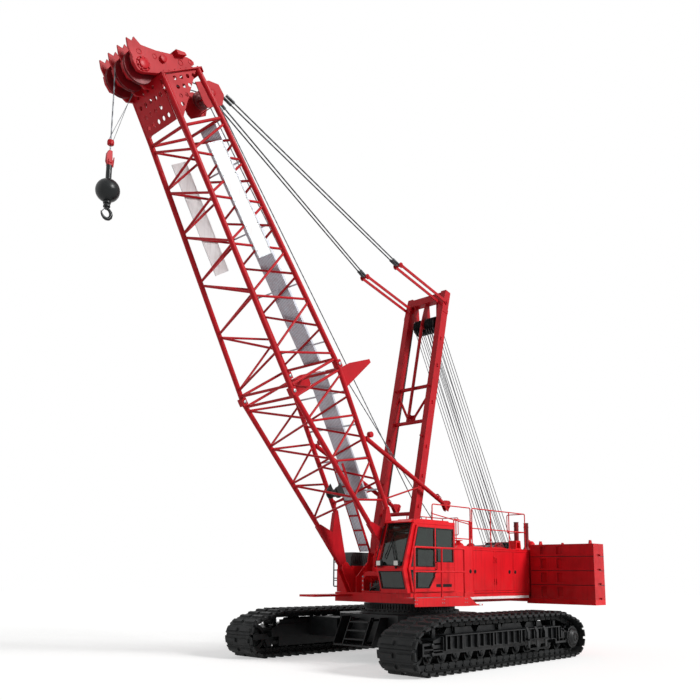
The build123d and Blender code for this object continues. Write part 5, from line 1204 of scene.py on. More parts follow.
def makeWalkway(v):    # bar grating in a frame on two arms, with a bent tube handrail
    rear, front, inner, outer, deck, posts = (v[k] for k in ("rear", "front", "inner", "outer", "z", "posts"))
    bm = bmesh.new()
    outline = rect(rear, inner, front, outer)
    addFrame(bm, outline, grown(outline, -0.02), deck - 0.04, deck, lambda x, y, z: Vector((x, y, z)))
    for x in v["arms"]:
        addPrism(bm, [(1.75, deck - 0.10), (2.41, deck - 0.085), (2.41, deck - 0.041), (1.75, deck - 0.041)], x,
                x + 0.06, lambda y, z, px: Vector((px, y, z)))
    y, top, low = v["railY"], v["railTop"], deck - 0.02
    addBentTube(bm, [(posts[0], y, low), (posts[0], y, top), (posts[-1], y, top), (posts[-1], y, low)], 0.026, 0.13)
    addTube(bm, (posts[1], y, low), (posts[1], y, top), 0.024)
    addTube(bm, (posts[0], y, v["midRail"]), (posts[-1], y, v["midRail"]), 0.022)
    for x in posts:
        addBlock(bm, (x - 0.04, y - 0.012, deck - 0.04), (x + 0.04, y + 0.024, deck + 0.09))
    piece = finishPiece("walkwayRail", bm, craneRedEnamel, "house", 1.5)
    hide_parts("cab_walkway")
    bm = bmesh.new()    # deep side board, and the step at its rear end
    addPrism(bm, [(rear - 0.02, 1.50), (front, 1.53), (front, 1.735), (rear - 0.02, 1.735)],
            outer + 0.001, outer + 0.013)
    for y in v["stepYs"]:
        addPrism(bm, [(0.48, 1.735), (0.36, 1.735), (0.06, 1.54), (-0.22, 1.54), (-0.22, 1.50), (0.10, 1.50),
                (0.48, 1.50)], y, y + 0.012)
    addBlock(bm, (-0.22, 1.9821, 1.515), (0.08, 2.3599, 1.535))
    addPrism(bm, [(0.10, 1.545), (0.36, 1.712), (0.352, 1.722), (0.092, 1.555)], 1.9821, 2.3599)
    finishPiece("walkwayBoard", bm, craneRedEnamel, "house", 1.5)
    bm = bmesh.new()
    addBlock(bm, (-0.17, 2.3721, 1.505), (-0.05, 2.376, 1.56))
    finishPiece("stepReflector", bm, stripePaint, "house", 0.5)
    growPiece("walkwayGrating", barRow, {"Count": v["bars"], "From": (rear + 0.035, 2.21, deck - 0.018),
            "To": (front - 0.035, 2.21, deck - 0.018), "Bar": (0.006, 0.36, 0.03),
            "Tilt": (0.0, 0.0, 0.0)}, galvanised, "house")
    growPiece("walkwayTies", barRow, {"Count": v["ties"], "From": ((rear + front) / 2, inner + 0.045, deck - 0.006),
            "To": ((rear + front) / 2, outer - 0.045, deck - 0.006), "Bar": (front - rear - 0.04, 0.006, 0.008),
            "Tilt": (0.0, 0.0, 0.0)}, galvanised, "house")
    bolts = [((x + dx, y + 0.025, deck + dz), (1, 0, 0), (0, 1, 0)) for x in posts for dx in (-0.022, 0.022)
            for dz in (0.02, 0.06)]
    bolts += [((x + dx, outer + 0.0135, z), (1, 0, 0), (0, 1, 0)) for x in posts
            for dx in (-0.04, 0.04) for z in (1.60, 1.69)]
    onPoints("walkwayBolts", boltM12, bolts, galvanised, "house")


makeWalkway(walkValues)

ladderValues = {"xs": (1.02, 1.27), "y": -1.80, "low": 1.95, "high": 2.88, "rungs": 3,
        "stays": (2.12, 2.42), "wall": -1.649}


def makeSideLadder(v):    # black bent grab loop with rungs beside the right front box
    y, low, high = v["y"], v["low"], v["high"]
    bm = bmesh.new()
    a, b = v["xs"]
    addBentTube(bm, [(a, y, low), (a, y, high), (b, y, high), (b, y, low)], 0.019, 0.09, True)
    for i in range(v["rungs"]):
        z = low + (high - low) * (i + 1) / (v["rungs"] + 1)
        addTube(bm, (a, y, z), (b, y, z), 0.015, 10)
    for x in v["xs"]:
        for z in v["stays"]:
            addTube(bm, (x, y, z), (x, v["wall"], z), 0.013, 10)
    finishPiece("sideLadder", bm, chassisBlack, "house", 0.0)


makeSideLadder(ladderValues)
print("cab dressed")


headValues = {
    "shaft": (13.37, -0.955), "cheekYs": (-0.56, -0.19, 0.19, 0.56), "half": 0.02, "flange": 13.1004,
    "flangeThick": 0.03, "rim": (0.692, -0.655, 0.60),
    "holes": ((13.64, -0.92, 0.045), (13.50, -0.55, 0.04), (13.29, 0.42, 0.04), (13.30, 0.12, 0.05)),
    "pipes": ((13.50, 0.02, 0.05), (13.42, -0.36, 0.06), (13.22, -0.62, 0.035)),
    "keeperYs": (-0.375, 0.0, 0.375), "keeperTurns": (270, 315), "keeperReach": 0.385,    # keepers, turned by degrees
    "cheek": [
        (13.131, -0.64), (13.20, -1.05), (13.26, -1.17), (13.44, -1.20), (13.60, -1.16), (13.78, -1.16),
        (13.955, -1.10), (13.87, -0.99), (13.955, -0.90), (13.77, -0.80), (13.62, -0.45), (13.52, -0.10),
        (13.40, 0.38), (13.35, 0.46), (13.28, 0.52), (13.22, 0.50), (13.19, 0.40), (13.131, 0.34),
    ],
}


def boomPlate(y):    # boom coordinates to a place, for outlines drawn on the boom's side
    return lambda s, t, h: onBoom(s, t, y + h)


def makeHead(v):    # cheeks with bosses, front flanges and rope guards, on a flange with a rim
    bm = bmesh.new()
    s0, t0 = v["shaft"]
    for y in v["cheekYs"]:
        addPrism(bm, v["cheek"], -v["half"], v["half"], boomPlate(y))
        outer = 1 if y > 0 else -1
        addLathe(bm, onBoom(s0, t0, y + outer * 0.019), (0, outer, 0), [(0, 0.17), (0.012, 0.17), (0.02, 0.155),
                (0.02, 0.12), (0.05, 0.115), (0.055, 0.105)], 32)
        addLathe(bm, onBoom(13.42, -0.36, y + outer * 0.019), (0, outer, 0),
                [(0, 0.085), (0.06, 0.085), (0.065, 0.07)], 24)
        for (sa, ta), (sb, tb) in zip(v["cheek"][0:4], v["cheek"][1:5]):
            lean = Vector((tb - ta, sa - sb)).normalized() * 0.008
            addPrism(bm, [(sa - lean.x, ta - lean.y), (sb - lean.x, tb - lean.y), (sb + lean.x, tb + lean.y),
                    (sa + lean.x, ta + lean.y)], -0.05, 0.05, boomPlate(y))
        for s, t, r in v["holes"]:
            addLathe(bm, onBoom(s, t, y + outer * 0.0195), (0, outer, 0),
                    [(0, r + 0.022), (0.009, r + 0.018), (0.009, r), (0.001, r)], 20)
    half, front, back = v["rim"]
    low, high = v["flange"], v["flange"] + v["flangeThick"]
    outline = rect(-half, front, half, back)
    addFrame(bm, outline, rect(-0.48, -0.44, 0.48, 0.39), low, high, lambda y, t, s: onBoom(s, t, y))
    for t in (-0.655, 0.585):
        addPrism(bm, rect(13.0, t, 13.131, t + 0.015), -half, half, onBoom)
    for s, t, r in v["pipes"]:
        addTube(bm, onBoom(s, t, -0.575), onBoom(s, t, 0.575), r, 20)
    for inner, outer in ((0.19, 0.70), (-0.70, -0.19)):
        addPrism(bm, [(13.44, 0.05), (13.56, 0.03), (13.47, 0.26), (13.40, 0.28)], inner, outer, onBoom)
    addTube(bm, onBoom(s0, t0, -0.6), onBoom(s0, t0, 0.6), 0.07, 24)
    piece = finishPiece("headCheeks", bm, boomShadedRedEnamel, "boom", 2.0)
    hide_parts("head_cheeks")
    bm = bmesh.new()    # rope keepers round the head sheaves, and the ears that guide the line on to them
    for y in v["keeperYs"]:
        for a in v["keeperTurns"]:
            a = radians(a)
            s, t = s0 - v["keeperReach"] * sin(a), t0 + v["keeperReach"] * cos(a)
            addTube(bm, onBoom(s, t, y - 0.165), onBoom(s, t, y + 0.165), 0.014, 10)
    for y in v["cheekYs"][:3]:
        addPrism(bm, [(12.93, -0.66), (13.13, -0.66), (13.16, -0.86), (13.08, -0.92), (12.98, -0.86)],
                -0.03, 0.03, boomPlate(y))
    finishPiece("ropeKeepers", bm, boomShadedRedEnamel, "boom", 1.5)
    bolts, up = [], onBoom(1, 0) - onBoom(0, 0)
    for side in (-1, 1):
        bolts += [(onBoom(high, -0.55 + 1.05 * i / 6, side * 0.655), (0, 1, 0), up) for i in range(7)]
        bolts += [(onBoom(s0 + 0.14 * cos(a), t0 + 0.14 * sin(a), side * 0.60), (cos(a), 0, sin(a)),
                (0, side, 0)) for a in angles(8)]
    bolts += [(onBoom(high, -0.61, -0.54 + 1.08 * i / 6), (0, 1, 0), up) for i in range(7)]
    onPoints("headBolts", boltM24, bolts, boomShadedRedEnamel, "boom")


makeHead(headValues)

guideValues = {
    "sheave": (12.62, 0.98), "radius": 0.22, "ys": (-0.15, 0.15), "roller": (5.115, 1.96), "plateY": 0.335,
    "keeperTurns": (20, 95, 170), "keeperReach": 0.25,
}


def addSheave(bm, centre, radius, width):    # a spoked-web rope wheel, axis along Y
    r, w = radius, width / 2
    addRing(bm, centre, (0, 1, 0), [(-w, r), (-w * 0.8, r + 0.002), (-w * 0.3, r - 0.036), (w * 0.3, r - 0.036),
            (w * 0.8, r + 0.002), (w, r), (w, r - 0.06), (w * 0.3, r - 0.07), (w * 0.3, r * 0.42), (w * 0.9, r * 0.36),
            (w * 0.9, 0.03), (-w * 0.9, 0.03), (-w * 0.9, r * 0.36), (-w * 0.3, r * 0.42),
            (-w * 0.3, r - 0.07), (-w, r - 0.06)], 40)


def makeGuides(v):    # tail sheaves between the pendant ears, with their side plates
    bm = bmesh.new()
    s, t = v["sheave"]
    for y in v["ys"]:
        addSheave(bm, onBoom(s, t, y), v["radius"], 0.07)
    finishPiece("tailSheaves", bm, sheaveIron, "boom")
    bm = bmesh.new()
    addTube(bm, onBoom(s, t, -0.36), onBoom(s, t, 0.36), 0.029, 16)
    for side in (-1, 1):
        addPrism(bm, [(12.30, 0.62), (12.42, 0.56), (12.92, 0.56), (12.90, 1.00), (12.78, 1.26), (12.52, 1.30),
                (12.30, 1.12)], side * v["plateY"] - 0.012, side * v["plateY"] + 0.012, onBoom)
        addLathe(bm, onBoom(s, t, side * 0.346), (0, side, 0), [(0, 0.08), (0.02, 0.08), (0.03, 0.05)], 20)
    for a in v["keeperTurns"]:
        a = radians(a)
        at = (s + v["keeperReach"] * cos(a), t + v["keeperReach"] * sin(a))
        addTube(bm, onBoom(*at, -v["plateY"]), onBoom(*at, v["plateY"]), 0.012, 10)
    finishPiece("tailBlock", bm, boomShadedRedEnamel, "boom", 2.0)


makeGuides(guideValues)


# An outer tangent of two circles on one side, in the coordinates of the boom's side.
def tangentLine(first, firstRadius, second, secondRadius, side):
    along = Vector((second[0] - first[0], second[1] - first[1]))
    lean = asin((firstRadius - secondRadius) / along.length)
    angle = atan2(along.y, along.x) + side * (pi / 2 - lean)
    out = Vector((cos(angle), sin(angle)))
    return [(s + out.x * r, t + out.y * r) for (s, t), r in ((first, firstRadius), (second, secondRadius))]


def arcPoints(centre, radius, first, last, steps):
    turns = [first + (last - first) * i / steps for i in range(steps + 1)]
    return [(centre[0] + radius * cos(a), centre[1] + radius * sin(a)) for a in turns]


hoistValues = {
    "rope": 0.014, "lowest": -42.0,    # degrees the boom can go down from rest
    "headReach": 0.336, "guideReach": 0.069,    # from a sheave's or roller's axis to the rope
    "drums": {"front": (-1.0, 2.72, 0.344, 0.15), "rear": (-2.15, 2.72, 0.344, -0.15)},    # x, z, reach, y at the boom
}


def makeHoistRopes(v):    # from the load line over the head, down the back of the boom and to the two drums
    head, tail, guide = headValues["shaft"], guideValues["sheave"], guideValues["roller"]
    reach, tailReach = v["headReach"], guideValues["radius"] - 0.022
    bm = bmesh.new()
    over = tangentLine(head, reach, tail, tailReach, -1)
    down = tangentLine(tail, tailReach, guide, v["guideReach"], -1)
    start = atan2(-sin(boomAngle), cos(boomAngle))
    end = atan2(over[0][1] - head[1], over[0][0] - head[0])
    first = atan2(over[1][1] - tail[1], over[1][0] - tail[0])
    last = atan2(down[0][1] - tail[1], down[0][0] - tail[0])
    for y0, y1 in ((0.0, 0.15), (-0.375, -0.15)):
        route = [onBoom(s, t, y0) for s, t in arcPoints(head, reach, start, end, 9)]
        route += [onBoom(s, t, y1) for s, t in arcPoints(tail, tailReach, first, last, 7) + [down[1]]]
        addBentTube(bm, route, v["rope"], 0.02)
    finishPiece("hoistRopes", bm, wireRope, "boom")
    # each lead starts where it clears the drum with the boom down
    for name, (x, z, radius, y) in v["drums"].items():
        top = onBoom(*down[1], y)
        lowered = boomFoot + Matrix.Rotation(radians(-v["lowest"]), 3, "Y") @ (top - boomFoot)
        away = Vector((x, 0, z)) - lowered
        across = Vector((away.z, 0, -away.x)).normalized()
        bottom = Vector((x, y, z)) + across * (radius if across.x < 0 else -radius)
        bm = bmesh.new()
        addTube(bm, bottom, top, v["rope"], 8)
        piece = finishPiece("hoistLead" + name.title(), bm, wireRope, None)
        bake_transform(piece)


makeHoistRopes(hoistValues)


loadValues = {
    "x": 10.094, "ball": 10.36, "hookTop": 10.103, "socketTop": 10.937, "socketPin": 11.0, "trip": 11.47,
    "ear": (13.08, -0.89), "chainYs": (-0.03, -0.16, -0.1),    # on the boom; the last one lies between the other two
    "stations": [    # round the hook: degrees, reach, half depth, half width
        (90, 0.115, 0.030, 0.036), (62, 0.112, 0.034, 0.036), (30, 0.108, 0.040, 0.036), (0, 0.106, 0.045, 0.036),
        (-30, 0.108, 0.047, 0.037), (-60, 0.110, 0.046, 0.038), (-90, 0.110, 0.042, 0.036),
        (-118, 0.106, 0.036, 0.031), (-145, 0.104, 0.030, 0.026), (-170, 0.108, 0.024, 0.020),
        (-192, 0.120, 0.014, 0.012),
    ],
}


def makeLoadGear(v):    # wedge socket, swivel, trip weight chain, and the forged hook
    x, trip, socket, pin = v["x"], v["trip"], v["socketTop"], v["socketPin"]
    bm = bmesh.new()
    addPrism(bm, [(x - 0.045, socket - 0.02), (x + 0.04, socket - 0.02), (x + 0.085, 11.02), (x + 0.075, 11.20),
            (x + 0.035, 11.28), (x - 0.04, 11.28), (x - 0.05, 11.10)], -0.036, 0.036)
    for side in (-1, 1):
        addPrism(bm, [(x - 0.045, 10.93), (x + 0.045, 10.93), (x + 0.05, 11.06), (x - 0.05, 11.06)],
                side * 0.048 - 0.010, side * 0.048 + 0.010)
        addLathe(bm, (x, side * 0.057, pin), (0, side, 0), [(0, 0.032), (0.014, 0.032), (0.018, 0.02)], 16)
    addTube(bm, (x, -0.05, pin), (x, 0.05, pin), 0.02, 12)
    addBentTube(bm, [(x - 0.03, 0, 10.96), (x - 0.085, 0, 10.93), (x - 0.10, 0, 11.16)], 0.013, 0.03)
    finishPiece("wedgeSocket", bm, boomShadedRedEnamel, "hoist_line", 6.0)
    bm = bmesh.new()
    addRing(bm, (x, 0, trip), (0, 0, 1), [(-0.062, 0.0152), (-0.062, 0.05), (-0.045, 0.072), (0.02, 0.075),
            (0.05, 0.066), (0.064, 0.04), (0.064, 0.0152)], 28)
    piece = finishPiece("tripWeight", bm, boomShadedRedEnamel, "hoist_line")
    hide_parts("trip_weight")
    bm = bmesh.new()
    first, second, middle = v["chainYs"]
    addTube(bm, (x + 0.05, 0, trip + 0.05), onBoom(*v["ear"], first), 0.006, 6)
    addTube(bm, (x - 0.05, 0, trip + 0.05), onBoom(*v["ear"], second), 0.006, 6)
    low, high = (x, 0, trip + 0.05), onBoom(*v["ear"], middle)
    piece = finishPiece("tripChain", bm, wireRope, None)
    tuple(low)
    tuple(high)
    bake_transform(piece)
    bm = bmesh.new()
    addLathe(bm, (x, 0, v["hookTop"] + 0.03), (0, 0, -1), [(0, 0.07), (0.035, 0.085), (0.07, 0.082), (0.075, 0.055),
            (0.11, 0.05), (0.115, 0.075), (0.15, 0.075), (0.155, 0.045), (0.2, 0.040)], 28)
    centre, rings = (x, 0, v["ball"] - 0.257 - 0.27), []
    for degrees, reach, deep, wide in v["stations"]:
        a = radians(180 - degrees)
        out = Vector((cos(a), 0, sin(a)))
        middle = Vector(centre) + out * reach
        section = [(deep * cos(b) * (1.0 if cos(b) > 0 else 0.8), wide * sin(b)) for b in angles(12)]
        rings.append([bm.verts.new(middle + out * u + Vector((0, w, 0))) for u, w in section])
    for first, second in zip(rings, rings[1:]):
        for i in range(12):
            bm.faces.new((first[i], first[(i + 1) % 12], second[(i + 1) % 12], second[i]))
    bm.faces.new(rings[0])
    bm.faces.new(rings[-1][::-1])
    addPrism(bm, [(x + 0.012, centre[2] + 0.135), (x + 0.03, centre[2] + 0.14), (x + 0.115, centre[2] + 0.028),
            (x + 0.10, centre[2] + 0.02)], -0.016, 0.016)
    piece = finishPiece("forgedHook", bm, castBlack, "hook", 0.0, 50.0)
    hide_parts("hook")


makeLoadGear(loadValues)
print("head and load line dressed")


boomValues = {
    "corners": (0.935, -0.955, 0.86), "joint": 5.5,    # half width, belly and back chord; where the sections meet
    "stop": ((3.42, 1.02), (0.17, 2.96)), "stopRadius": 0.062, "bore": 0.0615, "pinAcross": 0.115,
    "collars": ((0.62, 0.088, 0.05), (0.50, 0.078, 0.03), (0.09, 0.092, 0.07)),    # from the tip, radius, length
}


def makeBoomTrim(v):    # section pins, and the collars, fork plates and pins of the boom stops
    bm = bmesh.new()
    half, belly, back = v["corners"]
    for side in (-1, 1):
        for t in (belly, back):
            for along in (-0.045, 0.045):
                addLathe(bm, onBoom(v["joint"], t, side * half + along * 2.0), (0, 1 if along > 0 else -1, 0),
                        [(0, 0.046), (0.016, 0.046), (0.022, 0.03)], 18)
            addTube(bm, onBoom(v["joint"], t, side * half - 0.09), onBoom(v["joint"], t,
                    side * half + 0.09), 0.034, 16)
    finishPiece("sectionPins", bm, galvanised, "boom", 1.0)
    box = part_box("boom_stops")
    top, tip = (onBoom(*end) for end in v["stop"])
    bm = bmesh.new()
    for side in (-1, 1):
        y = side * (box[1][1] - v["stopRadius"])
        a, b = Vector((top.x, y, top.z)), Vector((tip.x, y, tip.z))
        ray = (b - a).normalized()
        bore = v["bore"]
        for back, radius, length in v["collars"]:
            addRing(bm, b - ray * back, ray, [(0, bore), (0, radius), (length, radius), (length, bore)], 24)
        across = Vector((ray.z, 0, -ray.x))
        plate = lambda u, w, h, o=b, r=ray, c=across: o + r * u + c * w + Vector((0, h, 0))
        for level in (-0.05, 0.05):
            addPrism(bm, [(-0.30, 0.055), (-0.10, 0.16), (0.0, 0.15), (0.0, -0.15), (-0.10, -0.16), (-0.30, -0.055)],
                    level - 0.008, level + 0.008, plate)
        for w in (v["pinAcross"], -v["pinAcross"]):
            addTube(bm, plate(-0.06, w, -0.07), plate(-0.06, w, 0.07), 0.022, 12)
        addLathe(bm, a + Vector((0, -0.06, 0)), (0, 1, 0), [(0, 0.07), (0.01, 0.08), (0.11, 0.08), (0.12, 0.07)], 24)
    finishPiece("stopFittings", bm, boomShadedRedEnamel, "boom", 2.0)


makeBoomTrim(boomValues)

boardValues = {
    "start": 8.65, "length": 2.8, "face": 0.0455, "edge": (-0.2, 0.27), "rim": ((0.008, 0.992), (-0.178, 0.248)),
    "root": (5.5, 0.935), "head": (12.0, 0.66),    # along the boom, and half its width there
    "boltShares": (0.06, 0.28, 0.5, 0.72, 0.94), "boltRows": (-0.165, 0.235),
}


def makeBoardTrim(v):    # folded edge angle and hook bolts of the blank boards
    (low, wide), (high, narrow) = v["root"], v["head"]

    def onBoard(share, t, lift, side):    # along and across a board's outer face
        s = v["start"] + share * v["length"]
        half = wide + (narrow - wide) * (s - low) / (high - low)
        return onBoom(s, t, side * (half + v["face"] + lift))

    for side, word in bothSides:
        bm = bmesh.new()
        (left, right), (foot, top) = v["rim"]
        addFrame(bm, rect(0, v["edge"][0], 1, v["edge"][1]), rect(left, foot, right, top), 0.0005, 0.006,
                lambda share, t, h, k=side: onBoard(share, t, h, k))
        finishPiece("boardEdge" + word, bm, galvanised, "boom", 1.0)
        points = [(onBoard(share, t, 0.001, side), onBoom(1, 0) - onBoom(0, 0), (0, side, 0))
                for share in v["boltShares"] for t in v["boltRows"]]
        onPoints("boardBolts" + word, boltM12, points, galvanised, "boom")


makeBoardTrim(boardValues)

buttValues = {"plank": (0.42, 2.95), "half": 0.16, "lift": (0.10, 0.40), "winch": (2.35, -0.10)}


def makeButtTrim(v):    # the short plank that reaches the foot, its brackets, and the tagline winch between the chords
    bm = bmesh.new()
    s0, s1 = v["plank"]
    t0, t1 = v["lift"]
    deck = [(s0, t0), (s1, t1), (s1, t1 + 0.03), (s0, t0 + 0.03)]
    for i in range(4):
        y = -v["half"] + 0.08 * i + 0.002
        addPrism(bm, deck, y, y + 0.076, onBoom)
    finishPiece("footPlank", bm, plankAluminium, "boom", 1.5)
    bm = bmesh.new()
    for y in (-v["half"] - 0.014, v["half"] + 0.002):
        addPrism(bm, [(s0, t0 - 0.02), (s1, t1 - 0.02), (s1, t1 + 0.06), (s0, t0 + 0.06)], y, y + 0.012, onBoom)
    for i in range(6):
        share = (i + 0.5) / 6
        s, t = s0 + (s1 - s0) * share, t0 + (t1 - t0) * share
        addPrism(bm, rect(s - 0.02, t - 0.03, s + 0.02, t - 0.001), -v["half"], v["half"], onBoom)
    finishPiece("footPlankRails", bm, boomShadedRedEnamel, "boom", 1.0)
    bm = bmesh.new()
    s, t = v["winch"]
    addLathe(bm, onBoom(s, t, -0.17), (0, 1, 0), [(0, 0.15), (0.03, 0.15), (0.035, 0.09), (0.29, 0.09),
            (0.295, 0.15), (0.325, 0.15)], 28)
    for inner, outer in ((-0.20, -0.175), (0.16, 0.185)):
        addPrism(bm, [(s - 0.20, t + 0.17), (s + 0.20, t + 0.17), (s + 0.12, t - 0.05),
                (s - 0.12, t - 0.05)], inner, outer, onBoom)
    finishPiece("taglineWinch", bm, machineDark, "boom", 2.0)


makeButtTrim(buttValues)
print("boom dressed")


mastValues = {
    "sheaves": (7.25, 0.16), "ys": (-0.34, -0.25, -0.16, -0.085, 0.085, 0.17, 0.255, 0.345), "reach": 0.226,
    # the block's sheaves stand wider apart
    "block": (-4.75, 3.16), "blockReach": 0.20, "wider": 1.25, "rope": 0.011,
    "topTurns": (-5.4, 17.2), "blockTurns": (-28.3, 14.4),    # degrees that each end of a fall is moved round
    "blockPlates": (-0.52, -0.26, 0.0, 0.26, 0.52), "guards": (60, 120, 240, 300), "guardReach": 0.245,
    "legY": 0.655, "legHalf": 0.095, "cleats": (1.3, 2.2, 3.1, 4.5, 5.7, 6.6), "rollers": (2.0, 3.4, 5.0),
    "bands": ((0.45, 0.62), (7.5, 7.62)),
}


def makeReeving(v):    # sixteen falls between the mast head and the lower block behind the house
    top, block = onMast(*v["sheaves"]), Vector((v["block"][0], 0, v["block"][1]))
    down, rise = atan2(block.z - top.z, block.x - top.x), atan2(top.z - block.z, top.x - block.x)
    bm = bmesh.new()
    for y in v["ys"]:
        for side in (0, 1):    # each fall starts and ends where it clears both sheaves at every angle of the mast
            quarter = pi / 2 if side == 0 else -pi / 2
            high = down + quarter + radians(v["topTurns"][side])
            low = rise - quarter + radians(v["blockTurns"][1 - side])
            end = top + Vector((cos(high), 0, sin(high))) * v["reach"] + Vector((0, y, 0))
            start = block + Vector((cos(low), 0, sin(low))) * v["blockReach"] + Vector((0, y * v["wider"], 0))
            addTube(bm, start, end, v["rope"], 8)
    piece = finishPiece("reevingRopes", bm, wireRope, None)
    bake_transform(piece)
    bm = bmesh.new()
    for y in v["ys"]:
        addSheave(bm, block + Vector((0, y * v["wider"], 0)), v["blockReach"] + 0.022, 0.07)
    finishPiece("blockSheaves", bm, castBlack, "house")
    bm = bmesh.new()
    x, z = v["block"]
    for y in v["blockPlates"]:
        if abs(y) > 0.5:
            outline = [(x - 0.42, 1.801), (x + 0.34, 1.801), (x + 0.16, z + 0.02), (x + 0.10, z + 0.13),
                    (x - 0.10, z + 0.13), (x - 0.16, z + 0.02)]
        else:
            outline = [(x - 0.11, z - 0.35), (x + 0.11, z - 0.35), (x + 0.09, z + 0.10), (x - 0.09, z + 0.10)]
        addPrism(bm, outline, y - 0.014, y + 0.014)
    addTube(bm, (x, -0.57, z), (x, 0.57, z), 0.029, 20)
    addTube(bm, (x, -0.52, z - 0.32), (x, 0.52, z - 0.32), 0.04, 16)
    for side in (-1, 1):
        addLathe(bm, (x, side * 0.533, z), (0, side, 0), [(0, 0.09), (0.02, 0.09), (0.03, 0.06), (0.045, 0.055)], 24)
    for a in v["guards"]:
        px, pz = x + v["guardReach"] * cos(radians(a)), z + v["guardReach"] * sin(radians(a))
        addTube(bm, (px, -0.52, pz), (px, 0.52, pz), 0.011, 10)
    finishPiece("lowerBlock", bm, craneRedEnamel, "house", 3.0)


makeReeving(mastValues)


def makeMastTrim(v):    # cleats, rope rollers, end plates, foot caps and pipes on the mast legs
    legY, legHalf = v["legY"], v["legHalf"]
    bm = bmesh.new()
    for side in (-1, 1):
        y = side * (legY + legHalf)
        for s in v["cleats"]:
            place = lambda a, t, h, k=side, b=y: onMast(a, t, b + k * h)
            addPrism(bm, [(s - 0.05, -0.03), (s + 0.05, -0.03), (s + 0.03, 0.03),
                    (s - 0.03, 0.03)], -0.001, 0.028, place)
        for s in v["rollers"]:
            addLathe(bm, onMast(s, -0.141, side * (legY - 0.02)), onMast(0, -1) - onMast(0, 0),
                    [(0, 0.026), (0.05, 0.026), (0.055, 0.04), (0.07, 0.04)], 14)
        for s0, s1 in v["bands"]:
            outline = rect(s0, -0.142, s1, 0.142)
            addPrism(bm, outline, legHalf - 0.001, legHalf + 0.012, lambda a, t, h, k=side, c=legY: onMast(a, t,
                    k * (c + h)))
        addLathe(bm, onMast(0, 0, side * (legY + legHalf - 0.001)), (0, side, 0),
                [(0, 0.12), (0.014, 0.12), (0.02, 0.1), (0.035, 0.06)], 28)
    finishPiece("mastTrim", bm, boomShadedRedEnamel, "mast", 1.5)
    bm = bmesh.new()
    for side in (-1, 1):
        y = side * (legY - legHalf - 0.018)
        addBentTube(bm, [onMast(0.7, 0.12, y), onMast(7.3, 0.12, y)], 0.009, 0.02)
        addBentTube(bm, [onMast(0.7, 0.085, y), onMast(7.0, 0.085, y)], 0.007, 0.02)
    finishPiece("mastPipes", bm, machineDark, "mast")


makeMastTrim(mastValues)

drumValues = {
    "half": 0.56, "flange": 0.035,    # half the drum's width, and one flange
    "drums": {    # x, z, radius of the top layer, rope radius, turns
        "front_hoist_drum": (-1.0, 2.72, 0.33, 0.014, 37), "rear_hoist_drum": (-2.15, 2.72, 0.33, 0.014, 37),
        "boom_hoist_drum": (-3.90, 3.01, 0.25, 0.011, 46),
    },
}


def makeWindings(v):    # rope laid on each drum, over its lower layers, and the drum's bolts
    for body, (x, z, radius, rope, turns) in v["drums"].items():
        half = v["half"] - v["flange"] - rope
        base = bpy.data.meshes.new("start")
        base.from_pydata([(x, half, z)], [], [])
        winding = {"Turns": float(turns), "Radius": radius, "Length": 2 * half, "Rope Radius": rope}
        growPiece("winding_" + body, ropeWinding, winding, wireRope, body, base, 60.0)
        bm = bmesh.new()
        width, core = 2 * (half + rope) - 0.002, radius - rope * 0.4
        addLathe(bm, (x, -half - rope + 0.001, z), (0, 1, 0), [(0, core), (width, core)], 48)
        finishPiece("layers_" + body, bm, wireRope, body)
        bolts = [bolt for side in (-1, 1) for bolt in boltCircle((x, side * v["half"], z), 12, radius + 0.02, side)]
        onPoints("bolts_" + body, boltM24, bolts, machineDark, body)


makeWindings(drumValues)
print("mast and winches dressed")


railValues = {
    "z": 3.0903, "top": 4.19, "y": 1.59, "mid": 3.62, "radius": 0.017, "front": -0.90, "rear": -3.76,
    "posts": (-1.85, -2.85), "returnY": 0.95, "cabRoof": (0.95, 3.695), "gateX": -0.82,
    "hoop": ((0.40, 3.80), (-0.42, 3.76), (-0.42, 3.28), (0.40, 3.28)), "hoopY": 1.90, "hoopPosts": (0.30, -0.32),
}


def makeRails(v):    # bent tube handrails on both roofs, and the one that steps up on to the cab roof
    bm = bmesh.new()
    z, top, mid, front, rear = v["z"], v["top"], v["mid"], v["front"], v["rear"]
    radius, thin, gate = v["radius"], v["radius"] * 0.9, v["gateX"]
    for side in (-1, 1):
        y, back = side * v["y"], side * v["returnY"]
        addBentTube(bm, [(front, y, z), (front, y, top), (rear, y, top), (rear, y, z)], radius, 0.12)
        addTube(bm, (front, y, mid), (rear, y, mid), thin, 12)
        for x in v["posts"]:
            addTube(bm, (x, y, z), (x, y, top), radius, 12)
        addBentTube(bm, [(rear, y, mid), (rear, back, mid), (rear, back, top), (rear, y, top)], thin, 0.1)
        for x in (front, rear, *v["posts"]):
            addLathe(bm, (x, y, z), (0, 0, 1), [(0, 0.045), (0.01, 0.045), (0.014, 0.024), (0.05, 0.022)], 16)
    (x, foot), y = v["cabRoof"], v["y"]
    addBentTube(bm, [(x, y, foot), (x, y, top), (gate, y, top), (gate, y, z)], radius, 0.12)
    addBentTube(bm, [(x, y, 3.93), (gate, y, 3.72)], thin, 0.12)
    addBentTube(bm, [(px, v["hoopY"], pz) for px, pz in v["hoop"]], thin, 0.1, True)
    for x in v["hoopPosts"]:
        addTube(bm, (x, v["hoopY"], 3.08), (x, v["hoopY"], 3.79), thin, 12)
    addBentTube(bm, [(-0.55, -y, z), (-0.55, -y, top), (gate, -y, top), (gate, -y, z)], radius, 0.1)
    piece = finishPiece("roofRails", bm, craneRedEnamel, "house")
    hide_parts("deck_rails")


makeRails(railValues)

weightValues = {"levels": (2.03, 2.45, 2.87), "front": -3.83, "rear": -5.65, "inner": 1.71, "outer": 3.81, "top": 3.24,
        "joint": 0.009, "winch": (-5.05, 0.88, 3.27)}


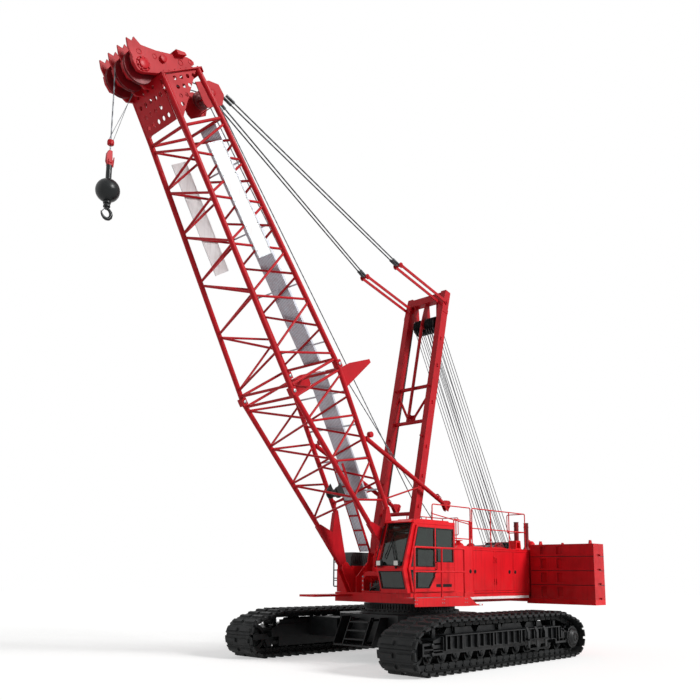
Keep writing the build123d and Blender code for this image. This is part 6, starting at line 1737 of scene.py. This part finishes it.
def makeWeightTrim(v):    # black strips of painted shade in the joints between the slabs, lifting lugs, and the small winch on the deck
    bm, lugs = bmesh.new(), bmesh.new()
    front, rear, inner, outer, top, gap = (v[k] for k in ("front", "rear", "inner", "outer", "top", "joint"))
    plan = [(front, outer - 0.002), (front - 0.64, outer), (rear + 0.15, inner + 0.90), (rear + 0.006, inner + 0.03)]
    for side in (-1, 1):
        y0, y1 = spread(side, inner + 0.01, outer - 0.004)
        for z in v["levels"]:
            # black strips on the front face and round the plan: painted shade in the gaps between the slabs
            addBlock(bm, (front - 0.002, y0, z - gap), (front + 0.0015, y1, z + gap))
            for (xa, ya), (xb, yb) in zip(plan, plan[1:]):
                out = Vector((ya - yb, xb - xa)).normalized() * -0.0008
                strip = [(xa - 2 * out.x, ya - 2 * out.y), (xb - 2 * out.x, yb - 2 * out.y), (xb + out.x, yb + out.y),
                        (xa + out.x, ya + out.y)]
                addPrism(bm, strip, z - gap, z + gap, lambda px, py, pz, k=side: Vector((px, k * py, pz)))
            x = front - 0.13
            addPrism(lugs, [(x - 0.09, z - 0.14), (x + 0.09, z - 0.14), (x + 0.09, z - 0.03), (x + 0.05, z),
                    (x - 0.05, z), (x - 0.09, z - 0.03)], *spread(side, outer - 0.06, outer - 0.001))
        for x, y in ((front - 0.22, outer - 0.2), (front - 0.22, inner + 0.25), (rear + 0.22, inner + 0.25)):
            addPrism(lugs, [(x - 0.09, top - 0.002), (x + 0.09, top - 0.002), (x + 0.05, top + 0.11),
                    (x - 0.05, top + 0.11)], side * y - 0.02, side * y + 0.02)
    finishPiece("weightJoints", bm, chassisBlack, "house")
    finishPiece("weightLugs", lugs, weightEnamel, "house", 4.0)
    bm = bmesh.new()    # it draws the weights up, and stands between them and the house
    x, y, z = v["winch"]
    addLathe(bm, (x, y, z), (0, 1, 0), [(0, 0.16), (0.03, 0.19), (0.07, 0.19), (0.08, 0.15), (0.20, 0.14),
            (0.24, 0.10), (0.25, 0)], 32)
    addPrism(bm, [(-5.20, 3.089), (-4.90, 3.089), (-4.96, 3.30), (-5.14, 3.30)], 0.85, 0.885)
    finishPiece("deckWinch", bm, craneRedEnamel, "house", 2.0)
    onPoints("deckWinchBolts", boltM12, boltCircle((x, 0.95, z), 10, 0.165, 1), machineDark, "house")


makeWeightTrim(weightValues)
print("deck dressed")


studioValues = {
    "floorSize": 160.0, "floorColour": "#d9d9d8", "glow": 0.5, "sky": 0.3,
    "lamps": {"keySun": (2.9, 16.0, (0.25, -0.90, -0.50)), "fillSun": (0.25, 60.0, (-0.8, 0.5, -0.3))},
}


def makeStudio(v):
    half = v["floorSize"] / 2
    mesh = bpy.data.meshes.new("studioFloor")
    mesh.from_pydata([(-half, -half, 0), (half, -half, 0), (half, half, 0), (-half, half, 0)], [], [(0, 1, 2, 3)])
    floor = newObject("studioFloor", mesh)
    material, tree = emptyMaterial("paleStudioFloor")
    world = bpy.data.worlds.new("studioSky")
    world.use_nodes = True
    bpy.context.scene.world = world
    world.node_tree.nodes.clear()
    shares = []
    for target in (tree, world.node_tree):    # seen by the camera, in a reflection or through glass
        path = addNode(target, "ShaderNodeLightPath").outputs
        seen = addNode(target, "ShaderNodeMath", {0: path["Is Camera Ray"],
                1: path["Is Glossy Ray"]}, operation="MAXIMUM")
        shares.append(addNode(target, "ShaderNodeMath", {0: seen, 1: path["Is Transmission Ray"]},
                operation="MAXIMUM"))
    diffuse = addNode(tree, "ShaderNodeBsdfDiffuse", {"Color": v["floorColour"]})
    strength = addNode(tree, "ShaderNodeMath", {0: shares[0], 1: v["glow"]}, operation="MULTIPLY")
    glow = addNode(tree, "ShaderNodeEmission", {"Color": (1, 1, 1, 1), "Strength": strength})
    both = addNode(tree, "ShaderNodeAddShader", {0: diffuse, 1: glow})
    addNode(tree, "ShaderNodeOutputMaterial", {"Surface": both})
    mesh.materials.append(material)
    tree = world.node_tree
    strength = addNode(tree, "ShaderNodeMapRange", {"Value": shares[1], "To Min": v["sky"], "To Max": 1.0})
    sky = addNode(tree, "ShaderNodeBackground", {"Color": (1, 1, 1, 1), "Strength": strength})
    addNode(tree, "ShaderNodeOutputWorld", {"Surface": sky})
    for name, (energy, angle, direction) in v["lamps"].items():
        data = bpy.data.lights.new(name, "SUN")
        data.energy, data.angle = energy, radians(angle)
        lamp = newObject(name, data)
        lamp.rotation_mode = "QUATERNION"
        lamp.rotation_quaternion = Vector(direction).to_track_quat("-Z", "Y")


makeStudio(studioValues)
print("studio made")
